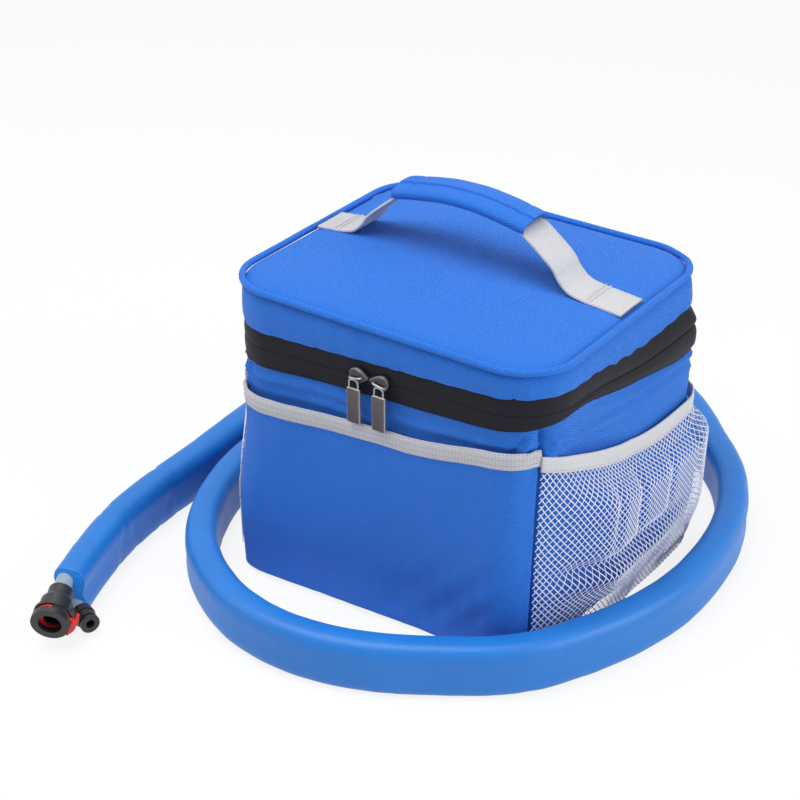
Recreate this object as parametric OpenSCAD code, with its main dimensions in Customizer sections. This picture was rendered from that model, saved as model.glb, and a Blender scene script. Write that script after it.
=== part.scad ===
// Hot and cold therapy machine: a soft insulated water bag with a small circulation pump,
// a flat foam-covered twin hose and a quick coupling. Millimetres, +Z up, front towards -Y.
// The origin is the centre of the bag's bottom panel, on the surface it stands on.

/* [Bag body] */
// Width of the bag body across its side panels
bag_w = 208; // [200:1:240]
// Depth of the bag body across its front and back panels
bag_d = 182; // [180:1:215]
// Radius of the upright corners of the bag body
corner_r = 30; // [24:1:34]
// Height of the zip line above the surface the bag stands on
zip_z = 160; // [150:1:180]
// Thickness of the coated outer fabric
shell_t = 1.2; // [0.8:0.1:2]
// Thickness of the bottom fabric panel
bottom_t = 1.5; // [1:0.1:3]
// Thickness of the stiff board in the bottom
board_t = 2.5; // [1.5:0.1:4]
// Thickness of the insulating foam
foam_t = 6; // [4:0.5:9]
// Thickness of the welded waterproof liner
liner_t = 0.8; // [0.5:0.1:1.5]
// Space left between two layers that lie on each other
layer_gap = 0.3; // [0.2:0.05:0.5]

/* [Lid] */
// How far the lid's side band stands proud of the bag body
lid_proud = 2; // [1:0.1:3]
// Height of the lid's side band, from the zip tape to the piping
lid_band_h = 16.5; // [14:0.5:22]
// Thickness of the padded side band
lid_band_t = 4; // [3:0.5:6]
// Diameter of the corded piping round the lid's top
piping_d = 5; // [4:0.5:6]
// How much the padded top panel stands up in the middle
lid_crown = 5.5; // [3:0.5:9]
// Thickness of the fabric at the edge of the top panel
top_edge_t = 2; // [1:0.5:3]
// Thickness of the foam pad in the lid
lid_foam_t = 8; // [5:0.5:10]

/* [Zip] */
// Thickness of the coated zip tape
tape_t = 1.2; // [0.8:0.1:1.8]
// Visible height of the tape below the zip line
lower_tape_h = 12; // [9:0.5:15]
// Visible height of the tape above the zip line
upper_tape_h = 12; // [9:0.5:14]
// Depth of the moulded teeth
teeth_t = 1; // [0.7:0.1:1.5]
// Height of one row of teeth
teeth_h = 1.4; // [1:0.1:2]
// Gap between the two rows of teeth, and of all that parts at the zip line
zip_gap = 0.6; // [0.4:0.1:1]
// Length of a slider along the zip
slider_l = 12; // [10:0.5:15]
// Width of a slider across the zip
slider_w = 9; // [8:0.5:11]
// Thickness of a slider's plate
slider_t = 2.8; // [2:0.1:3.5]
// Distance between the middles of the two sliders when the zip is closed
slider_pitch = 13.5; // [13:0.5:18]
// Place of the point where the two sliders meet
slider_x = -1; // [-15:0.5:15]
// Length of a pull tab below its hinge bar
tab_l = 26; // [20:0.5:27]
// Width of a pull tab
tab_w = 8.9; // [7.5:0.1:10]
// Radius of the pull tab's lower corners
tab_corner = 1.5; // [0.5:0.1:3]
// Thickness of a pull tab
tab_t = 1.6; // [1.2:0.1:2]

/* [Front pocket] */
// Height of the front pocket's mouth
pocket_top = 132; // [100:1:136]
// Depth that the front pocket opens to
pocket_depth = 4.5; // [4.3:0.1:5]
// Thickness of the front pocket's fabric
pocket_t = 1; // [0.8:0.1:1.5]
// Height of the woven binding along a pocket's mouth
binding_h = 10; // [8:0.5:12]
// Thickness of the woven binding
binding_t = 0.7; // [0.5:0.1:1]

/* [Mesh pockets] */
// Angle round the front corner from the side panel to the seam of front pocket and net
front_seam = 38; // [20:1:60]
// Angle round the rear corner from the side panel to the net's rear seam
rear_seam = 60; // [20:1:80]
// Height of the net at its front seam
net_front_z = 125; // [100:1:125]
// Height of the net at its rear seam
net_rear_z = 99; // [80:1:110]
// How far a net bulges from the side panel
net_bulge = 20; // [8:0.5:22]
// How far the net's mouth sags between its seams
net_sag = 13; // [0:0.5:16]
// Width of one cord of the net
net_cord_w = 1.5; // [1:0.1:2]
// Thickness of the net
net_t = 1; // [0.8:0.1:1.5]
// Half meshes along the net
net_cols = 18; // [12:2:20]
// Half meshes up the net
net_rows = 14; // [10:2:14]

/* [Handle] */
// Width of the webbing
webbing_w = 25.4; // [20:0.2:30]
// Thickness of the webbing
webbing_t = 1.8; // [1.2:0.1:2.5]
// Distance of the webbing's middle behind the bag's middle
handle_y = 7.5; // [-10:0.5:15]
// Distance of the webbing's sewn ends from the middle of the lid
strap_end = 100; // [95:1:102]
// Length of the sewn end on the right
right_foot_l = 24; // [16:1:28]
// Length of the sewn end on the left
left_foot_l = 16; // [12:1:24]
// Place of the sleeve's middle along the lid
sleeve_x = -4.5; // [-8:0.5:8]
// Length of the padded sleeve
sleeve_l = 90; // [80:1:100]
// Width of the padded sleeve
sleeve_w = 27; // [24:0.5:32]
// Thickness of the padded sleeve
sleeve_t = 11; // [8:0.5:14]
// Height of the sleeve's ends above the lid's edge
sleeve_rise = 37; // [30:1:45]
// Extra height of the sleeve's middle
sleeve_arch = 6; // [2:0.5:10]

/* [Pump] */
// Place of the pump and hose port along the back
port_x = 56; // [40:1:70]
// Height of the hose port's middle
port_z = 30; // [28:1:40]
// Distance of the pump's axis from the back of the bag
pump_back = 47; // [42:1:60]
// Radius of the pump
pump_r = 20; // [18:0.5:24]
// Height of the strainer cup under the pump
strainer_h = 16; // [14:0.5:20]
// Height of the sealed pump housing
pump_h = 42; // [40:1:50]
// Wall of the strainer cup
strainer_wall = 2; // [1.5:0.1:3]
// Height of a suction foot
foot_h = 3.2; // [2.5:0.1:4]
// Radius of the impeller
impeller_r = 9.5; // [8:0.5:10]
// Height of the impeller
impeller_h = 7; // [5:0.5:8]
// Radius of the rotor magnet
magnet_r = 5.5; // [4.5:0.1:6]
// Radius of the ceramic shaft
shaft_r = 1.5; // [1.2:0.1:2]
// Running clearance round the shaft
shaft_clear = 0.06; // [0.03:0.01:0.1]
// Blades on the impeller
blades = 6; // [4:1:8]
// Diameter of the pump's lead
lead_d = 4; // [3:0.5:5]

/* [Power inlet] */
// Place of the power inlet along the back
inlet_x = -40; // [-60:1:0]
// Height of the power inlet
inlet_z = 132; // [115:1:138]
// Radius of the power inlet's socket
inlet_r = 2.85; // [2.5:0.05:3.2]
// Depth of the power inlet's socket
inlet_depth = 9; // [8:0.5:10]

/* [Hose] */
// Thickness of the flat foam hose
hose_t = 21; // [18:1:24]
// Height of the flat foam hose, which lies on its edge
hose_h = 34; // [30:1:38]
// Outside diameter of a water tube
tube_d = 10.5; // [9:0.5:11]
// Bore of a water tube
tube_bore = 6.4; // [6:0.1:7]
// Distance between the two tubes in the foam
tube_pitch = 17; // [15:0.5:18]

/* [Couplings] */
// Length of tube that shows before the coupling
stub_l = 9; // [6:0.5:12]
// Radius of the coupling's neck
neck_r = 7.4; // [7:0.1:8]
// Radius of the coupling's body
coupling_r = 9.6; // [9:0.1:10.5]
// Radius of the coupling's front ring
flange_r = 11.4; // [11:0.1:12.5]
// Length of the coupling behind its latch
coupling_l = 20; // [18:0.5:24]
// Length of the coupling's front ring
flange_l = 4; // [3:0.5:5]
// Radius of the bore that seals on the mating insert
socket_r = 6; // [5.5:0.1:6.4]
// Depth of the sealing bore behind the latch
socket_l = 10; // [8:0.5:12]
// Thickness of the latch plate
latch_t = 2; // [1.6:0.1:2.4]
// Travel of the latch when its button is pressed
latch_travel = 1.4; // [1:0.1:1.8]
// Width of the thumb button
button_w = 13; // [10:0.5:14]
// Radius of the insert on the return line
insert_r = 5.9; // [5.4:0.1:6.2]
// Length of the insert on the return line
insert_l = 8; // [6:0.5:10]

/* [Hidden] */
$fn = 96;

blue = "#2a63d4";
hose_blue = "#1f6fd6";
black = "#26262a";
silver = "#c9cbd2";
grey = "#5d6066";
red = "#e2231c";
eps = 0.01;
big = 600;

// Half sizes, and the outsets of the layers measured from the bag body's outer face
half_w = bag_w / 2;
half_d = bag_d / 2;
foam_out = -(shell_t + layer_gap);
foam_in = foam_out - foam_t;
liner_out = foam_in - layer_gap;
liner_in = liner_out - liner_t;
board_top = bottom_t + board_t;
floor_foam_top = board_top + foam_t;
liner_floor = floor_foam_top + liner_t;
body_top = zip_z - zip_gap / 2;
lid_bottom = zip_z + zip_gap / 2;
foam_top = body_top - liner_t - layer_gap;

// Outsets and heights of the zip
tape_in = layer_gap;
tape_out = tape_in + tape_t;
teeth_out = tape_out + teeth_t;
band_bottom = zip_z + upper_tape_h;
band_top = band_bottom + lid_band_h;

// The lid
piping_out = lid_proud - 0.5;
piping_z = band_top + piping_d / 2 + layer_gap;
top_out = piping_out - piping_d / 2 - layer_gap;
top_bottom = band_top + layer_gap;
top_edge_z = top_bottom + top_edge_t;
lid_inside = lid_proud - lid_band_t;

// The sliders and their hinge bars
slider_y = -(half_d + teeth_out + layer_gap);
bar_y = slider_y - slider_t - 2;
bar_z = zip_z - 2.5;
bar_r = 0.8;
barrel_r = 1.7;
barrel_l = 5.6;
post_x = 3.2;
post_t = 1;
// The hinge bar stands towards the outer end of its slider
tab_aside = slider_l / 2 - post_x - post_t;
hinge_clear = 0.06;

// The front pocket
pocket_in = pocket_depth;
pocket_out = pocket_in + pocket_t;

// The mesh pockets run from seam to seam: round the front corner, along the side, round the rear
front_arc_l = corner_r * front_seam * PI / 180;
rear_arc_l = corner_r * rear_seam * PI / 180;
side_l = bag_d - 2 * corner_r;
seam_gap = 1;
net_l = front_arc_l + side_l + rear_arc_l - 2 * seam_gap;
net_z0 = 8;
net_foot = layer_gap + net_t;
node_half = net_cord_w / sqrt(2);

// The handle
sleeve_end_z = top_edge_z + sleeve_rise;
sleeve_x0 = sleeve_x - sleeve_l / 2;
sleeve_x1 = sleeve_x + sleeve_l / 2;
webbing_gap = 0.3;

// The pump stands on the liner's floor, with its outlet level with the port's upper tube
pump_y = half_d - pump_back;
foot_z = liner_floor;
strainer_z = foot_z + foot_h;
pump_z = strainer_z + strainer_h;
supply_z = port_z + tube_pitch / 2;
return_z = port_z - tube_pitch / 2;
chamber_r = impeller_r + 1.5;
chamber_top = pump_z + impeller_h + 5;
impeller_z = pump_z + 3;
magnet_z = impeller_z + impeller_h;
magnet_h = 14;
well_r = magnet_r + 0.9;
well_top = magnet_z + magnet_h + 1.5;
shaft_z = pump_z - 1;
shaft_top = well_top + 4;
barb_r = tube_bore / 2 - 0.05;
barb_l = 6;
outlet_y = pump_y + pump_r;

// The hose port clamps the back panel, the foam and the liner between two plates
port_plate_t = 2.5;
port_y = half_d + port_plate_t;
port_core = 6.4;
lock_y = half_d + liner_in - layer_gap;
lock_t = 2.2;
spigot_end = lock_y - lock_t - barb_l;
port_clear = 0.3;

// The route of the hose's middle line, from the port to the foam's cut end. It leaves the back,
// goes once round the bag at arm's length and half round again to end at the front left.
HOSE = [
    [56, 93.5, 30], [56, 121, 28], [48, 160, 23], [22, 188, 18], [-17, 203, 17],
    [-62, 202, 17], [-101, 184, 17], [-134, 151, 17], [-150, 106, 17], [-154, 56, 17],
    [-153, 6, 17], [-149, -35, 17], [-138, -73, 17], [-118, -110, 17], [-90, -137, 17],
    [-50, -157, 17], [-6, -161, 17], [38, -149, 17], [82, -123, 17], [105, -104, 17],
    [120, -83, 17], [139, -41, 17], [149, 6, 17], [147, 56, 17], [137, 96, 17], [117, 134, 17],
    [89, 165, 17], [57, 197, 17], [15, 225, 17], [-31, 235, 17], [-78, 231, 17],
    [-122, 207, 17], [-156, 168, 17], [-175, 117, 17], [-181, 63, 17], [-180, 9, 17],
    [-176, -39, 17], [-174, -84, 17], [-169, -127, 17], [-158, -165, 17], [-146, -197, 17]
];
hose_sides = 12;
hose_end = HOSE[len(HOSE) - 1];
end_angle = -71;

// The pump's lead climbs from the pump to the power inlet along the liner's back wall. Its
// points count from the back of the bag.
LEAD_RUN = [
    [56, -47, 75.2], [56, -46, 86], [48, -39, 97], [32, -28, 106], [14, -21, 113],
    [-8, -20, 120], [-26, -23, 127], [-36, -26, 131], [-40, -22, 132], [-40, -14.4, 132]
];
LEAD = [for (p = LEAD_RUN) p + [0, half_d, 0]];

// The supply line droops a little from the foam, and the return line is bent aside
supply_side = -2.4;
supply_tilt = [0, 11, 9];
return_side = 2.4;
return_tilt = [0, 0, 48];
end_upper = hose_h / 2 + tube_pitch / 2;
end_lower = hose_h / 2 - tube_pitch / 2;
latch_clear = 0.2;
slot_l = latch_t + 2 * latch_clear;
front_r = socket_r + latch_travel - 0.4;
latch_hole_r = socket_r + 0.5;
seal_pocket_l = 2;
seal_r = 0.8;
// Turns the latch about the coupling's axis, from straight down towards the bag's side
latch_spin = 55;
// Distances along the supply line from the foam's end
latch_s = stub_l + coupling_l;
ring_s = latch_s + slot_l;

// ---------------------------------------------------------------- outlines

// A rectangle with round corners, grown by an outset on every side
module outline(outset) {
    w = bag_w + 2 * outset;
    d = bag_d + 2 * outset;
    r = corner_r + outset;
    union() {
        square([w - 2 * r, d], center = true);
        square([w, d - 2 * r], center = true);
        for (sx = [-1, 1], sy = [-1, 1])
            translate([sx * (w / 2 - r), sy * (d / 2 - r)]) circle(r = r);
    }
}

module ring_2d(outer, inner) {
    difference() {
        outline(outer);
        outline(inner);
    }
}

module slab(outset, z0, z1) {
    translate([0, 0, z0]) linear_extrude(z1 - z0) outline(outset);
}

// The part of the plan in front of, or behind, the straight sides
module front_half_plane(y) {
    translate([-big / 2, y - big]) square([big, big]);
}

module rear_half_plane(y) {
    translate([-big / 2, y]) square([big, big]);
}

module wall(outer, inner, z0, z1) {
    translate([0, 0, z0]) linear_extrude(z1 - z0) ring_2d(outer, inner);
}

module front_and_sides(outer, inner, z0, z1) {
    translate([0, 0, z0]) linear_extrude(z1 - z0) intersection() {
        ring_2d(outer, inner);
        front_half_plane(half_d - corner_r);
    }
}

module rear_part(outer, inner, z0, z1) {
    translate([0, 0, z0]) linear_extrude(z1 - z0) intersection() {
        ring_2d(outer, inner);
        rear_half_plane(half_d - corner_r);
    }
}

module front_part(outer, inner, z0, z1) {
    translate([0, 0, z0]) linear_extrude(z1 - z0) intersection() {
        ring_2d(outer, inner);
        front_half_plane(-(half_d - corner_r));
    }
}

// A slot with round ends through the back wall, for the port's two tubes
module port_slot(r, y0, y1) {
    translate([port_x, y0, port_z]) rotate([-90, 0, 0]) union() {
        translate([0, tube_pitch / 2, 0]) cylinder(r = r, h = y1 - y0);
        translate([0, -tube_pitch / 2, 0]) cylinder(r = r, h = y1 - y0);
        translate([-r, -tube_pitch / 2, 0]) cube([2 * r, tube_pitch, y1 - y0]);
    }
}

module inlet_hole(r, y0, y1) {
    translate([inlet_x, y0, inlet_z]) rotate([-90, 0, 0]) cylinder(r = r, h = y1 - y0);
}

// ---------------------------------------------------------------- swept forms

function unit(v) = v / norm(v);

function heading(p, i) =
    let (a = p[max(i - 1, 0)], b = p[min(i + 1, len(p) - 1)])
    unit([b[0] - a[0], b[1] - a[1], b[2] - a[2]]);

// Corners of one ring of a tube: across is level, and up is square to the run
function ring_points(c, t, width, height, sides) =
    let (across = unit([-t[1], t[0], 0]), up = cross(t, across))
    [for (k = [0:sides - 1])
        let (a = 360 * (k + 0.5) / sides)
        c + across * (width / 2 * cos(a)) + up * (height / 2 * sin(a))];

// Faces of a closed tube of so many rings and sides
function tube_faces(rings, sides) = concat(
    [[for (k = [0:sides - 1]) k]],
    [for (i = [0:rings - 2], k = [0:sides - 1])
        let (a = i * sides + k, b = i * sides + (k + 1) % sides)
        [a, a + sides, b + sides]],
    [for (i = [0:rings - 2], k = [0:sides - 1])
        let (a = i * sides + k, b = i * sides + (k + 1) % sides)
        [a, b + sides, b]],
    [[for (k = [sides - 1:-1:0]) (rings - 1) * sides + k]]
);

// A flat stadium section: half circles at top and bottom, straight sides between them
function stadium_points(c, t, width, height, sides) =
    let (across = unit([-t[1], t[0], 0]), up = [0, 0, 1], r = width / 2, n = sides / 2)
    [for (k = [0:sides - 1])
        let (top = k < n, a = 180 * (top ? k : k - n) / (n - 1) + (top ? 0 : 180))
        c + across * (r * cos(a)) + up * (r * sin(a) + (top ? 1 : -1) * (height / 2 - r))];

module sweep(rings, sides) {
    polyhedron(
        points = [for (ring = rings, p = ring) p],
        faces = tube_faces(len(rings), sides),
        convexity = 10
    );
}

// ---------------------------------------------------------------- bag body

module bottom_panel() {
    color(blue) slab(0, 0, bottom_t);
}

module front_panel() {
    color(blue) front_part(0, -shell_t, bottom_t, body_top);
}

module back_panel() {
    color(blue) difference() {
        rear_part(0, -shell_t, bottom_t, body_top);
        port_slot(port_core + port_clear, half_d - shell_t - 1, half_d + 1);
        inlet_hole(inlet_r + 2.2 + port_clear, half_d - shell_t - 1, half_d + 1);
    }
}

module side_panel(side) {
    x0 = side > 0 ? half_w - shell_t : -half_w;
    translate([x0, -(half_d - corner_r), bottom_t])
        cube([shell_t, bag_d - 2 * corner_r, body_top - bottom_t]);
}

module left_panel() {
    color(blue) side_panel(-1);
}

module right_panel() {
    color(blue) side_panel(1);
}

module base_board() {
    color("#a08a68") slab(foam_out, bottom_t, board_top);
}

module wall_foam() {
    color("white") difference() {
        wall(foam_out, foam_in, board_top, foam_top);
        port_slot(port_core + port_clear, half_d + foam_in - 1, half_d + foam_out + 1);
        inlet_hole(inlet_r + 2.2 + port_clear, half_d + foam_in - 1, half_d + foam_out + 1);
    }
}

module floor_foam() {
    color("white") slab(liner_out, board_top, floor_foam_top);
}

// The liner is one tub with a rim that lies on the foam's top edge
module water_liner() {
    color(silver) difference() {
        union() {
            slab(liner_out, floor_foam_top, body_top);
            slab(foam_out, foam_top + layer_gap, body_top);
        }
        slab(liner_in, liner_floor, body_top + 1);
        port_slot(port_core + port_clear, half_d + liner_in - 1, half_d + liner_out + 1);
        inlet_hole(inlet_r + 2.2 + port_clear, half_d + liner_in - 1, half_d + liner_out + 1);
    }
}

module lower_zip_tape() {
    color(black) front_and_sides(tape_out, tape_in, zip_z - lower_tape_h, body_top);
}

module lower_zip_teeth() {
    color(black) front_and_sides(teeth_out, tape_out, body_top - teeth_h, body_top);
}

module rear_hinge_strip() {
    color(blue) rear_part(tape_out, tape_in, zip_z - lower_tape_h, body_top);
}

// ---------------------------------------------------------------- lid

module lid_side_band() {
    color(blue) union() {
        wall(lid_proud, lid_inside, band_bottom, band_top);
        wall(0, lid_inside, lid_bottom, band_bottom + eps);
    }
}

// Height of the domed top at a distance from its middle towards a side
function dome_z(x) = top_edge_z + lid_crown * (1 - pow(x / (half_w + top_out), 2));

// The outline of the lid's top, shrunk towards the middle by a factor and set at a height
function lid_ring(s, z) =
    let (w = half_w - corner_r, d = half_d - corner_r, r = corner_r + top_out)
    [for (k = [0:3], a = [0:15:90])
        [s * ((k == 0 || k == 3 ? w : -w) + r * cos(90 * k + a)),
         s * ((k < 2 ? d : -d) + r * sin(90 * k + a)), z]];

// The padded top has an upright edge and a low dome
module lid_top_panel() {
    dome = [for (s = [1, 0.92, 0.8, 0.65, 0.5, 0.35, 0.2, 0.05])
        lid_ring(s, dome_z(s * (half_w + top_out)))];
    color(blue) sweep(concat([lid_ring(1, top_bottom)], dome), 28);
}

// Piping of round section: four straight runs and four quarter rings
module lid_piping() {
    w = half_w + piping_out;
    d = half_d + piping_out;
    r = corner_r + piping_out;
    color(blue) translate([0, 0, piping_z]) union() {
        for (sy = [-1, 1])
            translate([-(w - r), sy * d, 0]) rotate([0, 90, 0])
                cylinder(d = piping_d, h = 2 * (w - r), $fn = 32);
        for (sx = [-1, 1])
            translate([sx * w, d - r, 0]) rotate([90, 0, 0])
                cylinder(d = piping_d, h = 2 * (d - r), $fn = 32);
        for (k = [0:3])
            translate([(k == 0 || k == 3 ? 1 : -1) * (w - r), (k < 2 ? 1 : -1) * (d - r), 0])
                rotate([0, 0, 90 * k]) rotate_extrude(angle = 90)
                    translate([r, 0]) circle(d = piping_d, $fn = 32);
    }
}

module lid_foam() {
    color("white") slab(lid_inside - layer_gap, band_top - lid_foam_t, band_top);
}

module lid_lining() {
    color(silver) slab(lid_inside - layer_gap, band_top - lid_foam_t - liner_t, band_top - lid_foam_t);
}

module upper_zip_tape() {
    color(black) front_and_sides(tape_out, tape_in, lid_bottom, band_bottom - layer_gap);
}

module upper_zip_teeth() {
    color(black) front_and_sides(teeth_out, tape_out, lid_bottom, lid_bottom + teeth_h);
}

// ---------------------------------------------------------------- handle

// A strip of even thickness along a line of points in the XZ plane
function strip_normal(p, i) =
    let (a = p[max(i - 1, 0)], b = p[min(i + 1, len(p) - 1)], t = (b - a) / norm(b - a))
    [-t[1], t[0]];

function strip_outline(p, t) = concat(
    [for (i = [0:len(p) - 1]) p[i]],
    [for (i = [len(p) - 1:-1:0]) p[i] + strip_normal(p, i) * t]
);

module strap(points) {
    color(silver) translate([0, handle_y + webbing_w / 2, 0]) rotate([90, 0, 0])
        linear_extrude(webbing_w) polygon(strip_outline(points, webbing_t));
}

// From its sewn foot the webbing bends up over a short curve and runs straight to the sleeve
function strap_line(side, foot_l, sleeve_end) =
    let (bend = strap_end - foot_l)
    concat(
        [for (k = [0:2]) let (x = strap_end - foot_l * k / 2) [side * x, dome_z(x) + webbing_gap]],
        [[side * (bend - 6), dome_z(bend - 6) + 2], [side * (bend - 13), dome_z(bend - 13) + 7.5],
         [sleeve_end + side * webbing_gap, sleeve_end_z - 2]]
    );

module handle_strap_right() {
    line = strap_line(1, right_foot_l, sleeve_x1);
    strap([for (i = [len(line) - 1:-1:0]) line[i]]);
}

module handle_strap_left() {
    strap(strap_line(-1, left_foot_l, sleeve_x0));
}

// The padded sleeve is an arched roll with rounded ends
module handle_sleeve() {
    steps = 12;
    ends = [for (i = [0:steps])
        let (s = i / steps)
        [sleeve_x0 + s * sleeve_l, handle_y, sleeve_end_z + sleeve_arch * sin(180 * s)]];
    rings = [for (i = [0:steps])
        let (s = i / steps, full = i == 0 || i == steps ? 0.72 : 1)
        ring_points(ends[i], heading(ends, i) , sleeve_w * (0.9 + 0.1 * full), sleeve_t * full, 16)];
    color(blue) sweep(rings, 16);
}

// ---------------------------------------------------------------- sliders

module slider(x) {
    color(grey) translate([x, slider_y, zip_z]) {
        difference() {
            union() {
                translate([-slider_l / 2 + slider_w / 2, 0, 0]) rotate([90, 0, 0])
                    cylinder(d = slider_w, h = slider_t);
                translate([-slider_l / 2 + slider_w / 2, -slider_t, -slider_w / 2])
                    cube([slider_l - slider_w / 2, slider_t, slider_w]);
            }
            translate([slider_l / 2 - 2, -slider_t / 2, -1]) cube([3, slider_t, 2]);
        }
        for (sx = [-1, 1])
            translate([sx * (post_x + post_t / 2) - post_t / 2 - tab_aside,
                       bar_y - slider_y - 1, bar_z - zip_z - 1.2])
                cube([post_t, slider_y - bar_y - slider_t + 1.2, 2.4]);
        translate([-post_x - post_t / 2 - tab_aside, bar_y - slider_y, bar_z - zip_z]) rotate([0, 90, 0])
            cylinder(r = bar_r, h = 2 * post_x + post_t, $fn = 32);
    }
}

module pull_tab(x) {
    color(grey) translate([x, bar_y, bar_z]) difference() {
        union() {
            translate([-barrel_l / 2, 0, 0]) rotate([0, 90, 0])
                cylinder(r = barrel_r, h = barrel_l, $fn = 32);
            translate([-barrel_l / 2, -tab_t / 2, -4]) cube([barrel_l, tab_t, 4]);
            translate([-tab_w / 2, -tab_t / 2, -tab_l + tab_corner])
                cube([tab_w, tab_t, tab_l - tab_corner - 2.4]);
            translate([tab_corner - tab_w / 2, -tab_t / 2, -tab_l])
                cube([tab_w - 2 * tab_corner, tab_t, tab_corner + eps]);
            for (sx = [-1, 1])
                translate([sx * (tab_w / 2 - tab_corner), tab_t / 2, -tab_l + tab_corner])
                    rotate([90, 0, 0]) cylinder(r = tab_corner, h = tab_t, $fn = 32);
        }
        translate([-barrel_l, 0, 0]) rotate([0, 90, 0])
            cylinder(r = bar_r + hinge_clear, h = 2 * barrel_l, $fn = 32);
    }
}

module left_slider() {
    slider(slider_x - slider_pitch / 2);
}

module right_slider() {
    translate([2 * (slider_x + slider_pitch / 2), 0, 0]) mirror([1, 0, 0])
        slider(slider_x + slider_pitch / 2);
}

module left_pull_tab() {
    pull_tab(slider_x - slider_pitch / 2 - tab_aside);
}

module right_pull_tab() {
    pull_tab(slider_x + slider_pitch / 2 + tab_aside);
}

// ---------------------------------------------------------------- pockets

// The plan in front of the two front seams, or of two lines beside them
module pocket_sector(inset) {
    x = half_w - corner_r - inset * sin(front_seam);
    y = -(half_d - corner_r) - inset * cos(front_seam);
    far = [big * cos(front_seam), big * sin(front_seam)];
    polygon([[-x, y], [-x - far[0], y - far[1]], [-big, -big], [big, -big], [x + far[0], y - far[1]], [x, y]]);
}

module pocket_part(outer, inner, z0, z1) {
    translate([0, 0, z0]) linear_extrude(z1 - z0) intersection() {
        ring_2d(outer, inner);
        pocket_sector(0);
    }
}

// The front pocket reaches half round both front corners, and is closed at its foot and seams
module front_pocket() {
    color(blue) difference() {
        pocket_part(pocket_out, layer_gap, bottom_t, pocket_top);
        translate([0, 0, bottom_t + pocket_t]) linear_extrude(pocket_top) intersection() {
            outline(pocket_in);
            pocket_sector(pocket_t);
        }
    }
}

module front_pocket_binding() {
    color(silver) pocket_part(pocket_out + layer_gap + binding_t, pocket_out + layer_gap,
                              pocket_top - binding_h, pocket_top);
}

// Shape of a net: s runs from the front seam to the rear seam and v from the foot to the mouth
function net_top(s) = net_front_z + (net_rear_z - net_front_z) * s - net_sag * sin(180 * s);

// A net hangs out most behind its middle, and least at its mouth
function net_out(s, v) = net_foot + net_bulge * pow(sin(180 * pow(s, 1.2)), 0.7) * sin(35 + 125 * v);

function net_point(side, s, v, depth) =
    let (run = seam_gap + net_l * s,
         y = min(max(run - front_arc_l, 0), side_l),
         a = (run - front_arc_l - y) / corner_r * 180 / PI,
         r = corner_r + net_out(s, v) - depth)
    [side * (half_w - corner_r + r * cos(a)), -side_l / 2 + y + r * sin(a),
     net_z0 + (net_top(s) - net_z0) * v];

// Whether a cord leaves the crossing at column i and row j in the direction (di, dj)
function has_cord(i, j, di, dj) =
    i + di >= 0 && i + di <= net_cols && j + dj >= 0 && j + dj <= net_rows;

// The four corners of a crossing lie right of, above, left of and below its middle
CORNERS = [[1, 0], [0, 1], [-1, 0], [0, -1]];
// The four cords leave between those corners, in the same order round the crossing
CORDS = [[1, 1], [-1, 1], [-1, -1], [1, -1]];

// Crossings are where i + j is even; each gets eight points, four outside and four inside.
// An even row has one crossing more than an odd row.
function crossing_index(i, j) =
    8 * (floor(j / 2) * (net_cols + 1) + (j % 2) * (net_cols / 2 + 1) + floor(i / 2));

// A cord between two crossings: n0 and n1 are its near corners, f0 and f1 the far ones facing them
function cord_faces(n0, n1, f0, f1) = [
    [n0, f0, f1], [n0, f1, n1], [n0 + 4, f1 + 4, f0 + 4], [n0 + 4, n1 + 4, f1 + 4],
    [n0, n0 + 4, f0 + 4], [n0, f0 + 4, f0], [n1, f1, f1 + 4], [n1, f1 + 4, n1 + 4]
];

module net(side) {
    du = node_half / net_l;
    dv = node_half / (net_rear_z - net_z0);
    rows = [for (j = [0:net_rows]) for (i = [j % 2:2:net_cols]) [i, j]];
    points = [for (ij = rows) for (depth = [0, net_t]) for (c = CORNERS)
        net_point(side, du * (1 + c[0]) + (1 - 2 * du) * ij[0] / net_cols,
                  dv * (1 + c[1]) + (1 - 2 * dv) * ij[1] / net_rows, depth)];
    crossings = [for (ij = rows)
        let (b = crossing_index(ij[0], ij[1]))
        each [[b, b + 1, b + 2], [b, b + 2, b + 3], [b + 6, b + 5, b + 4], [b + 7, b + 6, b + 4]]];
    // Walls close a crossing where no cord leaves it
    walls = [for (ij = rows) for (k = [0:3])
        let (b = crossing_index(ij[0], ij[1]), p = b + k, q = b + (k + 1) % 4)
        if (!has_cord(ij[0], ij[1], CORDS[k][0], CORDS[k][1])) each [[p, p + 4, q + 4], [p, q + 4, q]]];
    // Each crossing draws its two upward cords: right of it, then left of it
    right_cords = [for (ij = rows)
        let (b = crossing_index(ij[0], ij[1]), e = crossing_index(ij[0] + 1, ij[1] + 1))
        if (has_cord(ij[0], ij[1], 1, 1)) each cord_faces(b, b + 1, e + 3, e + 2)];
    left_cords = [for (ij = rows)
        let (b = crossing_index(ij[0], ij[1]), e = crossing_index(ij[0] - 1, ij[1] + 1))
        if (has_cord(ij[0], ij[1], -1, 1)) each cord_faces(b + 1, b + 2, e, e + 3)];
    faces = concat(crossings, walls, right_cords, left_cords);
    polyhedron(
        points = points,
        faces = side > 0 ? [for (f = faces) [f[2], f[1], f[0]]] : faces,
        convexity = 10
    );
}

module left_mesh_pocket() {
    color("white") net(-1);
}

module right_mesh_pocket() {
    color("white") net(1);
}

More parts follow.
